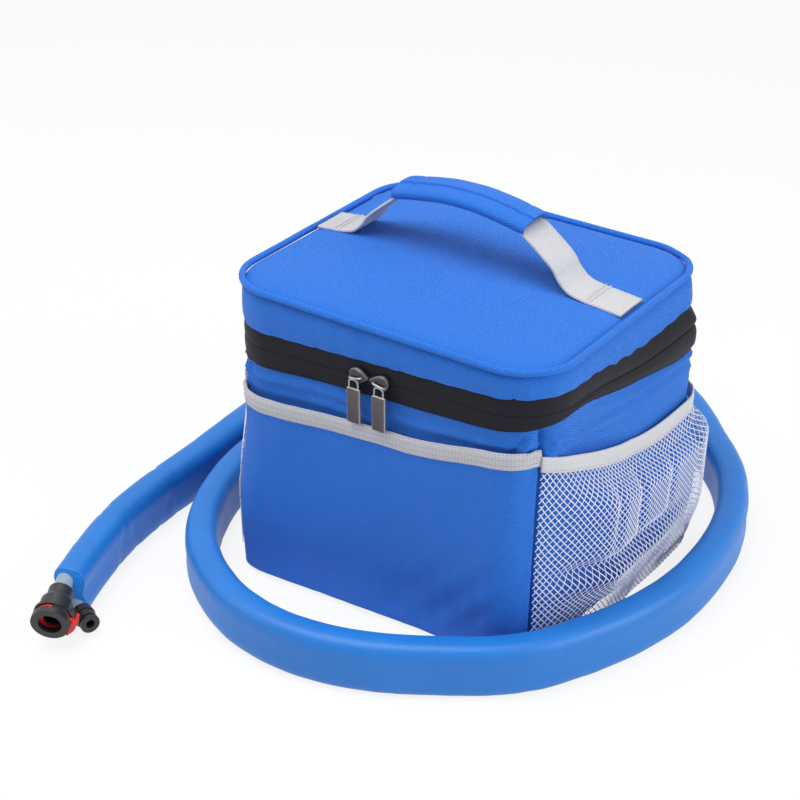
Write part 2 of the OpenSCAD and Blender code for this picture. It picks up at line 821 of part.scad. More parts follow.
// The binding follows the net's mouth from seam to seam
module mouth_binding(side) {
    steps = 16;
    rings = [for (i = [0:steps])
        let (s = i / steps,
             p = net_point(side, s, 1, net_t / 2 + binding_t),
             q = net_point(side, s, 1, net_t / 2 - binding_t),
             z0 = p[2] + layer_gap)
        [[p[0], p[1], z0], [q[0], q[1], z0], [q[0], q[1], z0 + binding_h], [p[0], p[1], z0 + binding_h]]];
    color(silver) polyhedron(
        points = [for (ring = rings, p = ring) p],
        faces = side > 0 ? [for (f = tube_faces(steps + 1, 4)) [for (k = [len(f) - 1:-1:0]) f[k]]]
                         : tube_faces(steps + 1, 4),
        convexity = 6
    );
}

module left_pocket_binding() {
    mouth_binding(-1);
}

module right_pocket_binding() {
    mouth_binding(1);
}

// ---------------------------------------------------------------- pump

module pump_at(z) {
    translate([port_x, pump_y, z]) children();
}

module pump_housing() {
    color(black) difference() {
        union() {
            pump_at(pump_z) cylinder(r = pump_r, h = pump_h);
            translate([port_x, outlet_y - 1, supply_z]) rotate([-90, 0, 0])
                cylinder(r = barb_r + 2, h = 3);
            translate([port_x, outlet_y, supply_z]) rotate([-90, 0, 0])
                cylinder(r = barb_r, h = barb_l);
            pump_at(pump_z + pump_h - eps) cylinder(r = lead_d / 2 + 1.5, h = 3);
        }
        pump_at(pump_z - 1) cylinder(r = chamber_r, h = chamber_top - pump_z + 1);
        pump_at(chamber_top - eps) cylinder(r = well_r, h = well_top - chamber_top);
        pump_at(well_top - 1) cylinder(r = shaft_r + shaft_clear, h = shaft_top - well_top + 1.5);
        translate([port_x, pump_y + chamber_r - 3, supply_z]) rotate([-90, 0, 0])
            cylinder(r = 2, h = big / 10);
    }
}

module pump_strainer() {
    slots = 12;
    color(black) difference() {
        pump_at(strainer_z) cylinder(r = pump_r, h = strainer_h);
        pump_at(strainer_z + strainer_wall)
            cylinder(r = pump_r - strainer_wall, h = strainer_h);
        for (k = [0:slots - 1])
            pump_at(strainer_z + strainer_wall + 1) rotate([0, 0, 360 * k / slots])
                translate([pump_r - 2 * strainer_wall, -1.5, 0])
                    cube([3 * strainer_wall, 3, strainer_h - strainer_wall - 4]);
    }
}

module pump_feet() {
    color(grey) for (k = [0:3])
        pump_at(foot_z) rotate([0, 0, 45 + 90 * k]) translate([pump_r - 6, 0, 0]) union() {
            cylinder(r1 = 5, r2 = 3, h = foot_h - 1);
            translate([0, 0, foot_h - 1 - eps]) cylinder(r = 3, h = 1 + eps);
        }
}

module pump_impeller() {
    color("white") pump_at(impeller_z) difference() {
        union() {
            cylinder(r = impeller_r, h = 1.4);
            cylinder(r = 3.2, h = impeller_h);
            for (k = [0:blades - 1])
                rotate([0, 0, 360 * k / blades]) translate([0, -0.6, 0])
                    cube([impeller_r - 0.5, 1.2, impeller_h]);
        }
        translate([0, 0, -1]) cylinder(r = shaft_r, h = impeller_h + 2);
    }
}

module pump_magnet() {
    color(grey) pump_at(magnet_z) difference() {
        cylinder(r = magnet_r, h = magnet_h);
        translate([0, 0, -1]) cylinder(r = shaft_r, h = magnet_h + 2);
    }
}

module pump_shaft() {
    color("white") pump_at(shaft_z) cylinder(r = shaft_r, h = shaft_top - shaft_z);
}

module pump_lead() {
    rings = [for (i = [0:len(LEAD) - 1]) lead_ring(i)];
    color(black) sweep(rings, 8);
}

// The lead turns from upright to level, so its rings take their sense from a slanting direction
function lead_ring(i) =
    let (t = heading(LEAD, i), across = unit(cross(t, [1, 1, 0])), up = cross(t, across))
    [for (k = [0:7])
        let (a = 45 * (k + 0.5))
        LEAD[i] + across * (lead_d / 2 * cos(a)) + up * (lead_d / 2 * sin(a))];

module line_tube(y0, y1, z) {
    color("#b9c6dd") translate([port_x, y0, z]) rotate([-90, 0, 0]) difference() {
        cylinder(d = tube_d, h = y1 - y0);
        translate([0, 0, -1]) cylinder(d = tube_bore, h = y1 - y0 + 2);
    }
}

module supply_tube_inside() {
    line_tube(outlet_y + 2.3, lock_y - lock_t - layer_gap, supply_z);
}

module return_tube_inside() {
    line_tube(outlet_y + 4, lock_y - lock_t - layer_gap, return_z);
}

// ---------------------------------------------------------------- port and inlet

module port_plate(width, height, y0, y1) {
    r = width / 2;
    translate([port_x, y0, port_z]) rotate([-90, 0, 0]) union() {
        translate([0, height / 2 - r, 0]) cylinder(r = r, h = y1 - y0);
        translate([0, r - height / 2, 0]) cylinder(r = r, h = y1 - y0);
        translate([-r, r - height / 2, 0]) cube([2 * r, height - 2 * r, y1 - y0]);
    }
}

module hose_port() {
    color(black) difference() {
        union() {
            port_plate(hose_t + 8, hose_h + 8, half_d, port_y);
            port_slot(port_core, lock_y - lock_t, half_d + eps);
            for (z = [supply_z, return_z])
                translate([port_x, spigot_end, z]) rotate([-90, 0, 0]) cylinder(r = barb_r, h = barb_l + 1);
        }
        for (z = [supply_z, return_z])
            translate([port_x, spigot_end - 1, z]) rotate([-90, 0, 0]) cylinder(r = 2, h = big / 10);
    }
}

module port_lock_plate() {
    color(black) difference() {
        port_plate(hose_t + 4, hose_h + 4, lock_y - lock_t, lock_y);
        port_slot(port_core + 0.15, lock_y - lock_t - 1, lock_y + 1);
    }
}

module power_inlet() {
    y0 = lock_y - lock_t - 3;
    color(black) difference() {
        union() {
            inlet_hole(inlet_r + 5, half_d, half_d + 2);
            inlet_hole(inlet_r + 2.2, y0, half_d + eps);
        }
        inlet_hole(inlet_r, half_d + 2 - inlet_depth, half_d + 3);
    }
    color(silver) inlet_hole(1, y0 + 2, half_d);
}

module power_inlet_nut() {
    color(grey) difference() {
        translate([inlet_x, lock_y - lock_t, inlet_z]) rotate([-90, 0, 0])
            cylinder(r = inlet_r + 5, h = lock_t, $fn = 6);
        inlet_hole(inlet_r + 2.25, lock_y - lock_t - 1, lock_y + 1);
    }
}

// ---------------------------------------------------------------- hose and couplings

module hose_sleeve() {
    last = len(HOSE) - 1;
    rings = [for (i = [0:last])
        let (t = i == 0 ? [0, 1, 0] : i == last ? [cos(end_angle), sin(end_angle), 0] : heading(HOSE, i))
        stadium_points(HOSE[i], t, hose_t, hose_h, hose_sides)];
    color(hose_blue) sweep(rings, hose_sides);
}

// The end frame has its X along the hose and its origin on the floor under the foam's end
module at_hose_end() {
    translate([hose_end[0], hose_end[1], 0]) rotate([0, 0, end_angle]) children();
}

module beyond_foam() {
    intersection() {
        children();
        at_hose_end() translate([0, -big / 4, -big / 4]) cube(big / 2);
    }
}

module supply_frame() {
    at_hose_end() translate([0, supply_side, end_upper]) rotate(supply_tilt) rotate([0, 90, 0]) children();
}

module return_frame() {
    at_hose_end() translate([0, return_side, end_lower]) rotate(return_tilt) rotate([0, 90, 0]) children();
}

module supply_tube_end() {
    color("#b9c6dd") beyond_foam() supply_frame() translate([0, 0, -5]) difference() {
        cylinder(d = tube_d, h = stub_l + 5 - eps);
        translate([0, 0, -1]) cylinder(d = tube_bore, h = stub_l + 8);
    }
}

module return_tube_end() {
    color("#b9c6dd") beyond_foam() return_frame() translate([0, 0, -5]) difference() {
        cylinder(d = tube_d, h = stub_l + 5 - eps);
        translate([0, 0, -1]) cylinder(d = tube_bore, h = stub_l + 8);
    }
}

module quick_coupling() {
    color(black) supply_frame() difference() {
        union() {
            translate([0, 0, stub_l]) cylinder(r = neck_r, h = 6);
            translate([0, 0, stub_l + 6 - eps]) cylinder(r1 = neck_r, r2 = coupling_r, h = 4);
            translate([0, 0, stub_l + 10 - 2 * eps]) cylinder(r = coupling_r, h = coupling_l - 10);
            translate([0, 0, latch_s - 2]) cylinder(r = flange_r, h = 2);
            translate([0, 0, ring_s]) cylinder(r = flange_r, h = flange_l);
            // Two bridges join the front ring to the body on either side of the latch plate
            for (sy = [-1, 1])
                rotate([0, 0, latch_spin]) translate([-4, sy * (flange_r - 1.35) - 0.85, latch_s - 1])
                    cube([8, 1.7, slot_l + 2]);
        }
        translate([0, 0, stub_l - 1]) cylinder(d = tube_bore - 1, h = coupling_l);
        translate([0, 0, latch_s - socket_l - seal_pocket_l]) cylinder(r = socket_r - 0.4, h = socket_l);
        translate([0, 0, latch_s - socket_l]) cylinder(r = socket_r, h = socket_l + 1);
        translate([0, 0, ring_s - 1]) cylinder(r = front_r, h = flange_l + 2);
    }
}

module coupling_seal() {
    color(grey) supply_frame() translate([0, 0, latch_s - socket_l - seal_pocket_l / 2])
        rotate_extrude() translate([socket_r - 0.4 - 0.1 - seal_r, 0]) circle(r = seal_r, $fn = 24);
}

// The latch plate slides across the bore: its hole sits towards the button until it is pressed
module coupling_latch() {
    plate_w = 2 * (flange_r - 2.4);
    color(red) supply_frame() rotate([0, 0, latch_spin]) translate([0, 0, latch_s + latch_clear]) {
        difference() {
            union() {
                intersection() {
                    cylinder(r = flange_r - 1.2, h = latch_t);
                    translate([-flange_r, -plate_w / 2, 0]) cube([2 * flange_r, plate_w, latch_t]);
                }
                translate([0, -button_w / 2, 0]) cube([flange_r + 2.4, button_w, latch_t]);
            }
            translate([latch_travel, 0, -1]) cylinder(r = latch_hole_r, h = latch_t + 2);
        }
        intersection() {
            difference() {
                translate([0, 0, -5.5]) cylinder(r = flange_r + 3.2, h = 5.5 + latch_t);
                translate([0, 0, -6.5]) cylinder(r = flange_r + latch_travel + 0.3, h = 7.5 + latch_t);
            }
            translate([0, -button_w / 2, -6]) cube([2 * flange_r, button_w, 10]);
        }
    }
}

module return_insert() {
    color(black) return_frame() difference() {
        union() {
            translate([0, 0, stub_l]) cylinder(r = 6.8, h = 5);
            translate([0, 0, stub_l + 5 - eps]) cylinder(r = insert_r, h = insert_l);
        }
        translate([0, 0, stub_l - 1]) cylinder(d = tube_bore - 1, h = insert_l + 8);
        translate([0, 0, stub_l + 5 + insert_l - 3]) difference() {
            cylinder(r = insert_r + 1, h = 1.6);
            translate([0, 0, -1]) cylinder(r = insert_r - 0.9, h = 4);
        }
    }
}

bottom_panel();
front_panel();
back_panel();
left_panel();
right_panel();
base_board();
wall_foam();
floor_foam();
water_liner();
lower_zip_tape();
lower_zip_teeth();
rear_hinge_strip();
lid_side_band();
lid_top_panel();
lid_piping();
lid_foam();
lid_lining();
upper_zip_tape();
upper_zip_teeth();
handle_strap_left();
handle_strap_right();
handle_sleeve();
left_slider();
left_pull_tab();
right_slider();
right_pull_tab();
front_pocket();
front_pocket_binding();
left_mesh_pocket();
left_pocket_binding();
right_mesh_pocket();
right_pocket_binding();
pump_housing();
pump_strainer();
pump_feet();
pump_impeller();
pump_magnet();
pump_shaft();
pump_lead();
supply_tube_inside();
return_tube_inside();
hose_port();
port_lock_plate();
power_inlet();
power_inlet_nut();
hose_sleeve();
supply_tube_end();
return_tube_end();
quick_coupling();
coupling_seal();
coupling_latch();
return_insert();
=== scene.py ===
"""Dresses the hot and cold therapy machine: a soft water bag, its hose and its couplings."""

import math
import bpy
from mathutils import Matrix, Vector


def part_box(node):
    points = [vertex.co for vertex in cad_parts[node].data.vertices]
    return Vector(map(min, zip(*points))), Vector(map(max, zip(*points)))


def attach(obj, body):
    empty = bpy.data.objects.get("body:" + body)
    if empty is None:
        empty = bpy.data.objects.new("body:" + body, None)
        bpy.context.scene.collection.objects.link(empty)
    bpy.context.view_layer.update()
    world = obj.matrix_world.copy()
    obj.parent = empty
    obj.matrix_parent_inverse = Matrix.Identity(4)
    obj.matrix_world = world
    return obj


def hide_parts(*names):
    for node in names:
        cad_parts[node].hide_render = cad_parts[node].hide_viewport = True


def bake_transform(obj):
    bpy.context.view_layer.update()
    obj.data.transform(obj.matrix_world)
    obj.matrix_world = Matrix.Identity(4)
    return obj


bl_info = {
    "name": "Hot and cold therapy machine",
    "version": (1, 0, 0),
    "blender": (4, 5, 0),
    "location": "View3D > Sidebar > Therapy bag",
    "description": "Builds the soft bag, zip, pockets, handle, hose and couplings over the CAD frame",
    "category": "Add Mesh",
}

import bpy
from mathutils import Vector, noise

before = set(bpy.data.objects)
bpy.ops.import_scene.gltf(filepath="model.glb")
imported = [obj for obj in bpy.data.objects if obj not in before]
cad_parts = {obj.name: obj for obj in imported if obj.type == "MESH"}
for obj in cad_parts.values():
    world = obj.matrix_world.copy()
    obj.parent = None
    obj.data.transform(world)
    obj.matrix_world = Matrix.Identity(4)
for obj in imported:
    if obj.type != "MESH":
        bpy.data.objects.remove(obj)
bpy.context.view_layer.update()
MM = 0.001

# The hose's route, in millimetres, as in the part's source
ROUTE = [
    (56, 93.5, 30), (56, 121, 28), (48, 160, 23), (22, 188, 18), (-17, 203, 17),
    (-62, 202, 17), (-101, 184, 17), (-134, 151, 17), (-150, 106, 17), (-154, 56, 17),
    (-153, 6, 17), (-149, -35, 17), (-138, -73, 17), (-118, -110, 17), (-90, -137, 17),
    (-50, -157, 17), (-6, -161, 17), (38, -149, 17), (82, -123, 17), (105, -104, 17),
    (120, -83, 17), (139, -41, 17), (149, 6, 17), (147, 56, 17), (137, 96, 17), (117, 134, 17),
    (89, 165, 17), (57, 197, 17), (15, 225, 17), (-31, 235, 17), (-78, 231, 17),
    (-122, 207, 17), (-156, 168, 17), (-175, 117, 17), (-181, 63, 17), (-180, 9, 17),
    (-176, -39, 17), (-174, -84, 17), (-169, -127, 17), (-158, -165, 17), (-146, -197, 17),
]
END_ANGLE = math.radians(-71)
# The pump lead's route inside the bag, in millimetres
LEAD = [
    (56, 44, 75.2), (56, 45, 86), (48, 52, 97), (32, 63, 106), (14, 70, 113),
    (-8, 71, 120), (-26, 68, 127), (-36, 65, 131), (-40, 69, 132), (-40, 76.6, 132),
]
LEAD_RADIUS = 2


# ------------------------------------------------------------------ settings

def length(name, description, default):
    """A size in millimetres."""
    return bpy.props.FloatProperty(name=name, description=description, default=default, min=0.0)


def colour(name, description, default):
    """A linear colour."""
    return bpy.props.FloatVectorProperty(
        name=name, description=description, default=default, subtype="COLOR", min=0.0, max=1.0, size=3)


class BagSizes(bpy.types.PropertyGroup):
    """Sizes of the bag, in millimetres and degrees."""
    width: length("Width", "Width of the bag body", 208.0)
    depth: length("Depth", "Depth of the bag body", 182.0)
    corner: length("Corner", "Radius of the upright corners", 30.0)
    front_seam: length("Front seam", "Turn from a side to the seam in the front corner", 38.0)
    rear_seam: length("Rear seam", "Turn from a side to the seam in the rear corner", 60.0)
    zip_height: length("Zip height", "Height of the zip line", 160.0)
    pocket_top: length("Pocket top", "Height of the front pocket's mouth", 132.0)
    binding: length("Binding", "Height of the pockets' bindings", 10.0)
    taper: length("Taper", "How much the body narrows at its foot, on each side", 2.6)
    belly: length("Belly", "How far the sides swell towards the rear", 8.5)
    wrinkle: length("Wrinkle", "Depth of the soft wrinkles", 0.9)
    sag: length("Sag", "How far the zip line hangs down in the middle of the sides", 2.5)
    push: length("Push", "How far the front left foot is pushed out", 9.0)


class LidSizes(bpy.types.PropertyGroup):
    """Sizes of the lid and its handle, in millimetres."""
    band_bottom: length("Band bottom", "Height of the side band's lower seam", 170.8)
    band_top: length("Band top", "Height of the side band's upper seam", 188.5)
    proud: length("Proud", "How far the side band stands out from the body", 2.0)
    piping: length("Piping", "Diameter of the corded piping", 4.0)
    crown: length("Crown", "Rise of the padded top", 5.5)
    edge: length("Edge", "Height of the top's edge", 190.8)
    webbing: length("Webbing", "Width of the webbing", 25.4)
    webbing_thickness: length("Webbing thickness", "Thickness of the webbing", 1.8)
    handle_y: length("Handle place", "Distance of the handle behind the middle", 7.5)
    sleeve_x: bpy.props.FloatProperty(
        name="Sleeve place", description="Place of the sleeve's middle along the lid", default=-4.5)
    sleeve_length: length("Sleeve", "Length of the padded sleeve", 90.0)
    sleeve_width: length("Sleeve width", "Width of the padded sleeve", 27.0)
    sleeve_height: length("Sleeve height", "Thickness of the padded sleeve", 8.6)


class HoseSizes(bpy.types.PropertyGroup):
    """Sizes of the foam hose, in millimetres."""
    thickness: length("Thickness", "Thickness of the flat hose", 21.0)
    height: length("Height", "Height of the hose, which lies on its edge", 34.0)
    waist: length("Waist", "Depth of the groove between the two tubes", 1.1)
    tube: length("Tube", "Outside diameter of a water tube", 10.5)


class NetSizes(bpy.types.PropertyGroup):
    """Sizes of the side pockets' nets, in millimetres."""
    cell: length("Cell", "Width of one mesh", 3.7)
    cord: length("Cord", "Thickness of the net's cord", 0.72)
    bulge: length("Bulge", "How far the net hangs out", 21.0)
    foot: length("Foot", "Height of the net's foot", 8.0)
    front: length("Front", "Height of the net's mouth at its front seam", 125.0)
    rear: length("Rear", "Height of the net's mouth at its rear seam", 103.0)
    sag: length("Sag", "How far the net's mouth hangs down in its middle", 9.2)
    crease: bpy.props.FloatProperty(
        name="Crease", description="Share of the height where the slack net folds over", default=0.40)


class Colours(bpy.types.PropertyGroup):
    """Colours of the materials."""
    cover: colour("Cover", "The bag's woven cover", (0.011, 0.186, 0.800))
    hose: colour("Hose", "The hose's foam", (0.006, 0.178, 0.600))
    binding: colour("Binding", "Pocket bindings", (0.62, 0.62, 0.66))
    webbing: colour("Webbing", "Handle webbing", (0.60, 0.60, 0.63))
    net: colour("Net", "Side pockets' nets", (0.80, 0.83, 0.92))
    zip_tape: colour("Zip tape", "Coated zip tape", (0.011, 0.011, 0.016))
    metal: colour("Slider", "Plated sliders", (0.055, 0.050, 0.050))
    # The rim colour is the wire loops' and bridges' own colour, and a painted highlight on the sliders' rim
    # rings and the pull tabs' edges
    rim: colour("Rim", "Rubbed rims and loops", (0.36, 0.35, 0.35))
    tab: colour("Pull tab", "Pull tabs", (0.100, 0.088, 0.088))
    plastic: colour("Coupling", "Black mouldings", (0.014, 0.014, 0.016))
    latch: colour("Latch", "Red latch", (0.72, 0.020, 0.012))
    tube: colour("Tube", "Water tubes", (0.42, 0.50, 0.62))


class TherapyBag(bpy.types.PropertyGroup):
    """All settings of the model."""
    bag: bpy.props.PointerProperty(type=BagSizes, name="Bag")
    lid: bpy.props.PointerProperty(type=LidSizes, name="Lid")
    hose: bpy.props.PointerProperty(type=HoseSizes, name="Hose")
    net: bpy.props.PointerProperty(type=NetSizes, name="Net")
    colours: bpy.props.PointerProperty(type=Colours, name="Colours")


# ------------------------------------------------------------------ shader maths

class Value:
    """A shader socket that takes part in Python arithmetic."""

    def __init__(self, finish, socket):
        self.finish = finish
        self.socket = socket

    def maths(self, operation, *values):
        return self.finish.node("ShaderNodeMath", {"operation": operation}, dict(enumerate(values)))

    def __add__(self, other):
        return self.maths("ADD", self, other)

    def __radd__(self, other):
        return self.maths("ADD", other, self)

    def __sub__(self, other):
        return self.maths("SUBTRACT", self, other)

    def __rsub__(self, other):
        return self.maths("SUBTRACT", other, self)

    def __mul__(self, other):
        return self.maths("MULTIPLY", self, other)

    def __rmul__(self, other):
        return self.maths("MULTIPLY", other, self)

    def __truediv__(self, other):
        return self.maths("DIVIDE", self, other)

    def __rtruediv__(self, other):
        return self.maths("DIVIDE", other, self)

    def __abs__(self):
        return self.maths("ABSOLUTE", self)

    def __gt__(self, other):
        return self.maths("GREATER_THAN", self, other)

    def __lt__(self, other):
        return self.maths("LESS_THAN", self, other)

    def fraction(self):
        return self.maths("FRACT", self)

    def wave(self, period):
        """Rises and falls between 0 and 1 once in each period."""
        return self.maths("SINE", self * (2 * math.pi / period)) * 0.5 + 0.5

    def part(self, axis):
        return self.finish.node("ShaderNodeSeparateXYZ", {}, {0: self}, out=axis)


class Finish:
    """A material under construction."""

    def __init__(self, name):
        self.material = bpy.data.materials.new(name)
        self.material.use_nodes = True
        self.tree = self.material.node_tree
        self.tree.nodes.clear()
        self.output = self.tree.nodes.new("ShaderNodeOutputMaterial")

    def node(self, kind, settings=None, values=None, out=0):
        """Adds a node: its settings first, then the values or links of its sockets."""
        made = self.tree.nodes.new(kind)
        for key, value in (settings or {}).items():
            if key == "stops":
                ramp = made.color_ramp
                while len(ramp.elements) < len(value):
                    ramp.elements.new(1.0)
                for element, (place, shade) in zip(ramp.elements, value):
                    element.position = place
                    element.color = (*shade, 1.0)
            else:
                setattr(made, key, value)
        for key, value in (values or {}).items():
            if isinstance(value, Value):
                self.tree.links.new(value.socket, made.inputs[key])
            else:
                made.inputs[key].default_value = value
        return Value(self, made.outputs[out])

    def cloth(self):
        """Place along and across a sewn piece, in metres."""
        return self.node("ShaderNodeAttribute", {"attribute_name": "cloth"}, out="Vector")

    def place(self):
        return self.node("ShaderNodeTexCoord", {}, out="Object")

    def noise(self, where, scale, detail=2.0, roughness=0.5):
        return self.node("ShaderNodeTexNoise", {}, {
            "Vector": where, "Scale": scale, "Detail": detail, "Roughness": roughness}, out=0)

    def blend(self, amount, first, second):
        """Mixes two colours."""
        return self.node("ShaderNodeMix", {"data_type": "RGBA"}, {
            0: amount, 6: opaque(first), 7: opaque(second)}, out=2)

    def bump(self, height, distance, strength=1.0, below=None):
        values = {"Strength": strength, "Distance": distance, "Height": height}
        if below is not None:
            values["Normal"] = below
        return self.node("ShaderNodeBump", {}, values, out="Normal")

    def surface(self, **values):
        """Closes the material with a principled surface."""
        names = {key.replace("_", " ").title().replace("Ior", "IOR"): value
                 for key, value in values.items()}
        if "Base Color" in names:
            names["Base Color"] = opaque(names["Base Color"])
        shader = self.node("ShaderNodeBsdfPrincipled", {}, names)
        self.tree.links.new(shader.socket, self.output.inputs["Surface"])
        return self.material


def opaque(shade):
    """A colour with its alpha, or a link as it is."""
    if isinstance(shade, Value):
        return shade
    return (*tuple(shade)[:3], 1.0)


def tinted(shade, factor):
    """A colour made darker or lighter."""
    return tuple(min(1.0, part * factor) for part in tuple(shade)[:3])


def settings():
    return bpy.context.scene.therapy_bag


def finish_once(name, make):
    """Makes a material the first time that it is asked for."""
    found = bpy.data.materials.get(name)
    return found if found else make(name)


def cover_finish(name):
    """Diagonal twill with a soft uneven dye and a little sheen."""
    f = Finish(name)
    blue = settings().colours.cover
    cloth = f.cloth()
    along, across = cloth.part("X"), cloth.part("Y")
    place = f.place()
    slub = f.noise(place, 900.0, 3.0)
    diagonal = (along + across + slub * 0.0005).wave(0.0017)
    threads = (along - across + slub * 0.0003).wave(0.0009)
    weave = diagonal * 0.7 + threads * 0.3
    cloud = f.noise(place, 22.0, 3.0, 0.6)
    shade = f.blend(weave * 0.6 + slub * 0.35, tinted(blue, 0.55), tinted(blue, 1.30))
    shade = f.blend(cloud * 0.30, shade, tinted(blue, 0.80))
    soft = f.bump(f.noise(place, 60.0, 3.0, 0.55), 0.0011, 0.5)
    normal = f.bump(weave, 0.00040, 1.0, below=soft)
    return f.surface(base_color=shade, roughness=0.62 + cloud * 0.12, normal=normal,
                     sheen_weight=0.10, sheen_roughness=0.5, specular_ior_level=0.32)


def hose_finish(name):
    """Skinned foam: satin, with fine pores and faint lengthwise marks."""
    f = Finish(name)
    blue = settings().colours.hose
    cloth = f.cloth()
    place = f.place()
    pores = f.noise(place, 1500.0, 2.0)
    marks = f.noise(place, 35.0, 4.0, 0.6)
    cross = f.noise(f.node("ShaderNodeCombineXYZ", {}, {0: cloth.part("X") * 9.0, 1: cloth.part("Y")}),
                    20.0, 3.0, 0.6)
    shade = f.blend(marks * 0.6 + pores * 0.2, tinted(blue, 0.80), tinted(blue, 1.20))
    soft = f.bump(cross, 0.0009, 0.35)
    normal = f.bump(pores, 0.00006, 0.6, below=soft)
    return f.surface(base_color=shade, roughness=0.40 + marks * 0.14, normal=normal,
                     sheen_weight=0.05, sheen_roughness=0.4)


def cut_foam_finish(name):
    """The open cells of foam where it was cut."""
    f = Finish(name)
    blue = settings().colours.hose
    place = f.place()
    cells = f.node("ShaderNodeTexVoronoi", {}, {"Vector": place, "Scale": 1100.0}, out="Distance")
    shade = f.blend(cells, tinted(blue, 1.0), tinted(blue, 1.8))
    return f.surface(base_color=shade, roughness=0.75, normal=f.bump(cells, 0.0002, 0.7))


def webbing_finish(name):
    """Ribbed webbing: cords run along it, and picks cross them."""
    f = Finish(name)
    grey = settings().colours.webbing
    cloth = f.cloth()
    along, across = cloth.part("X"), cloth.part("Y")
    ribs = across.wave(0.0016)
    picks = (along + ribs * 0.0004).wave(0.0011)
    fuzz = f.noise(f.place(), 1400.0, 2.0)
    weave = ribs * 0.55 + picks * 0.45
    shade = f.blend(weave * 0.7 + fuzz * 0.3, tinted(grey, 0.66), tinted(grey, 1.18))
    normal = f.bump(weave + fuzz * 0.2, 0.00035, 0.9)
    return f.surface(base_color=shade, roughness=0.66, normal=normal, sheen_weight=0.2)


def binding_finish(name, chevrons):
    """Woven binding: a herringbone on the front pocket, a plain rib on the nets."""
    f = Finish(name)
    grey = settings().colours.binding
    cloth = f.cloth()
    along, across = cloth.part("X"), cloth.part("Y")
    fuzz = f.noise(f.place(), 1300.0, 2.0)
    if chevrons:
        lean = abs((across / 0.0034).fraction() - 0.5) * 0.0034
        weave = (along + lean * 2.0 + fuzz * 0.0002).wave(0.0021)
        lines = (abs((across / 0.0034).fraction() - 0.5) > 0.44)
        height = weave - lines * 0.4
        shade = f.blend(height * 0.75 + fuzz * 0.25, tinted(grey, 0.46), tinted(grey, 1.28))
    else:
        # A dashed row of stitches runs along the lower edge; the groove between the stitches is darkened as
        # painted shade
        row = abs(across - 0.0023) < 0.0004
        stitch = row * ((along / 0.0034).fraction() < 0.62)
        height = across.wave(0.0011) * 0.6 + along.wave(0.0008) * 0.4 - row * 0.5 + stitch * 1.4
        shade = f.blend(across.wave(0.0011) * 0.5 + fuzz * 0.4, tinted(grey, 0.80), tinted(grey, 1.12))
        # Painted shade: the groove between the stitches is blended 35 % of the way towards dark grey
        shade = f.blend(row * 0.35 - stitch * 0.35, shade, tinted(grey, 0.45))
    return f.surface(base_color=shade, roughness=0.6, normal=f.bump(height, 0.00025, 0.8),
                     sheen_weight=0.2)


def net_finish(name):
    """Bright knotless cord."""
    f = Finish(name)
    white = settings().colours.net
    fuzz = f.noise(f.place(), 1800.0, 2.0)
    shade = f.blend(fuzz, tinted(white, 0.86), tinted(white, 1.08))
    return f.surface(base_color=shade, roughness=0.55, normal=f.bump(fuzz, 0.00008, 0.6),
                     sheen_weight=0.3)


def tape_finish(name):
    """Black tape with a matt coating, pebbled and a little creased."""
    f = Finish(name)
    black = settings().colours.zip_tape
    place = f.place()
    grain = f.noise(place, 1300.0, 3.0)
    creases = f.noise(place, 110.0, 4.0, 0.62)
    shade = f.blend(creases, tinted(black, 0.75), tinted(black, 1.6))
    soft = f.bump(creases, 0.0006, 0.35)
    return f.surface(base_color=shade, roughness=0.46 + creases * 0.16, specular_ior_level=0.13,
                     normal=f.bump(grain, 0.00006, 0.7, below=soft))


def metal_finish(name, key, roughness):
    """Plated zinc, rubbed lighter in places."""
    f = Finish(name)
    shade = getattr(settings().colours, key)
    place = f.place()
    rub = f.noise(place, 420.0, 4.0, 0.6)
    fine = f.noise(place, 2600.0, 2.0)
    tone = f.blend(rub, tinted(shade, 0.7), tinted(shade, 1.4))
    return f.surface(base_color=tone, metallic=0.55, roughness=roughness + rub * 0.2,
                     normal=f.bump(fine, 0.00002, 0.5))


def moulded_finish(name, shade, roughness, grain=0.00003):
    """Injection-moulded plastic with a fine grain."""
    f = Finish(name)
    place = f.place()
    cloud = f.noise(place, 120.0, 3.0)
    fine = f.noise(place, 2400.0, 2.0)
    tone = f.blend(cloud, tinted(shade, 0.85), tinted(shade, 1.25))
    return f.surface(base_color=tone, roughness=roughness + cloud * 0.1,
                     normal=f.bump(fine, grain, 0.7))


def tube_finish(name):
    """Soft translucent tube, slightly blue."""
    f = Finish(name)
    shade = settings().colours.tube
    cloud = f.noise(f.place(), 160.0, 3.0)
    tone = f.blend(cloud, tinted(shade, 0.88), tinted(shade, 1.15))
    return f.surface(base_color=tone, roughness=0.16 + cloud * 0.1, transmission_weight=0.35,
                     ior=1.42, normal=f.bump(cloud, 0.0002, 0.2))


def film_finish(name):
    """Silvered liner film with soft creases."""
    f = Finish(name)
    place = f.place()
    creases = f.noise(place, 45.0, 4.0, 0.6)
    fine = f.noise(place, 900.0, 2.0)
    tone = f.blend(creases, (0.42, 0.43, 0.45), (0.66, 0.67, 0.70))
    return f.surface(base_color=tone, metallic=0.35, roughness=0.34 + creases * 0.2,
                     normal=f.bump(fine, 0.00005, 0.4, below=f.bump(creases, 0.002, 0.5)))


def foam_finish(name, shade):
    """Closed-cell foam or board."""
    f = Finish(name)
    cells = f.node("ShaderNodeTexVoronoi", {}, {"Vector": f.place(), "Scale": 900.0}, out="Distance")
    tone = f.blend(cells, tinted(shade, 0.85), tinted(shade, 1.08))
    return f.surface(base_color=tone, roughness=0.8, normal=f.bump(cells, 0.0002, 0.6))


def cover():
    return finish_once("woven_cover", cover_finish)


def black_plastic():
    return finish_once("black_moulding",
                       lambda name: moulded_finish(name, settings().colours.plastic, 0.34))


def rubber():
    return finish_once("soft_rubber", lambda name: moulded_finish(name, (0.03, 0.03, 0.032), 0.6, 0.00006))


# ------------------------------------------------------------------ mesh tools

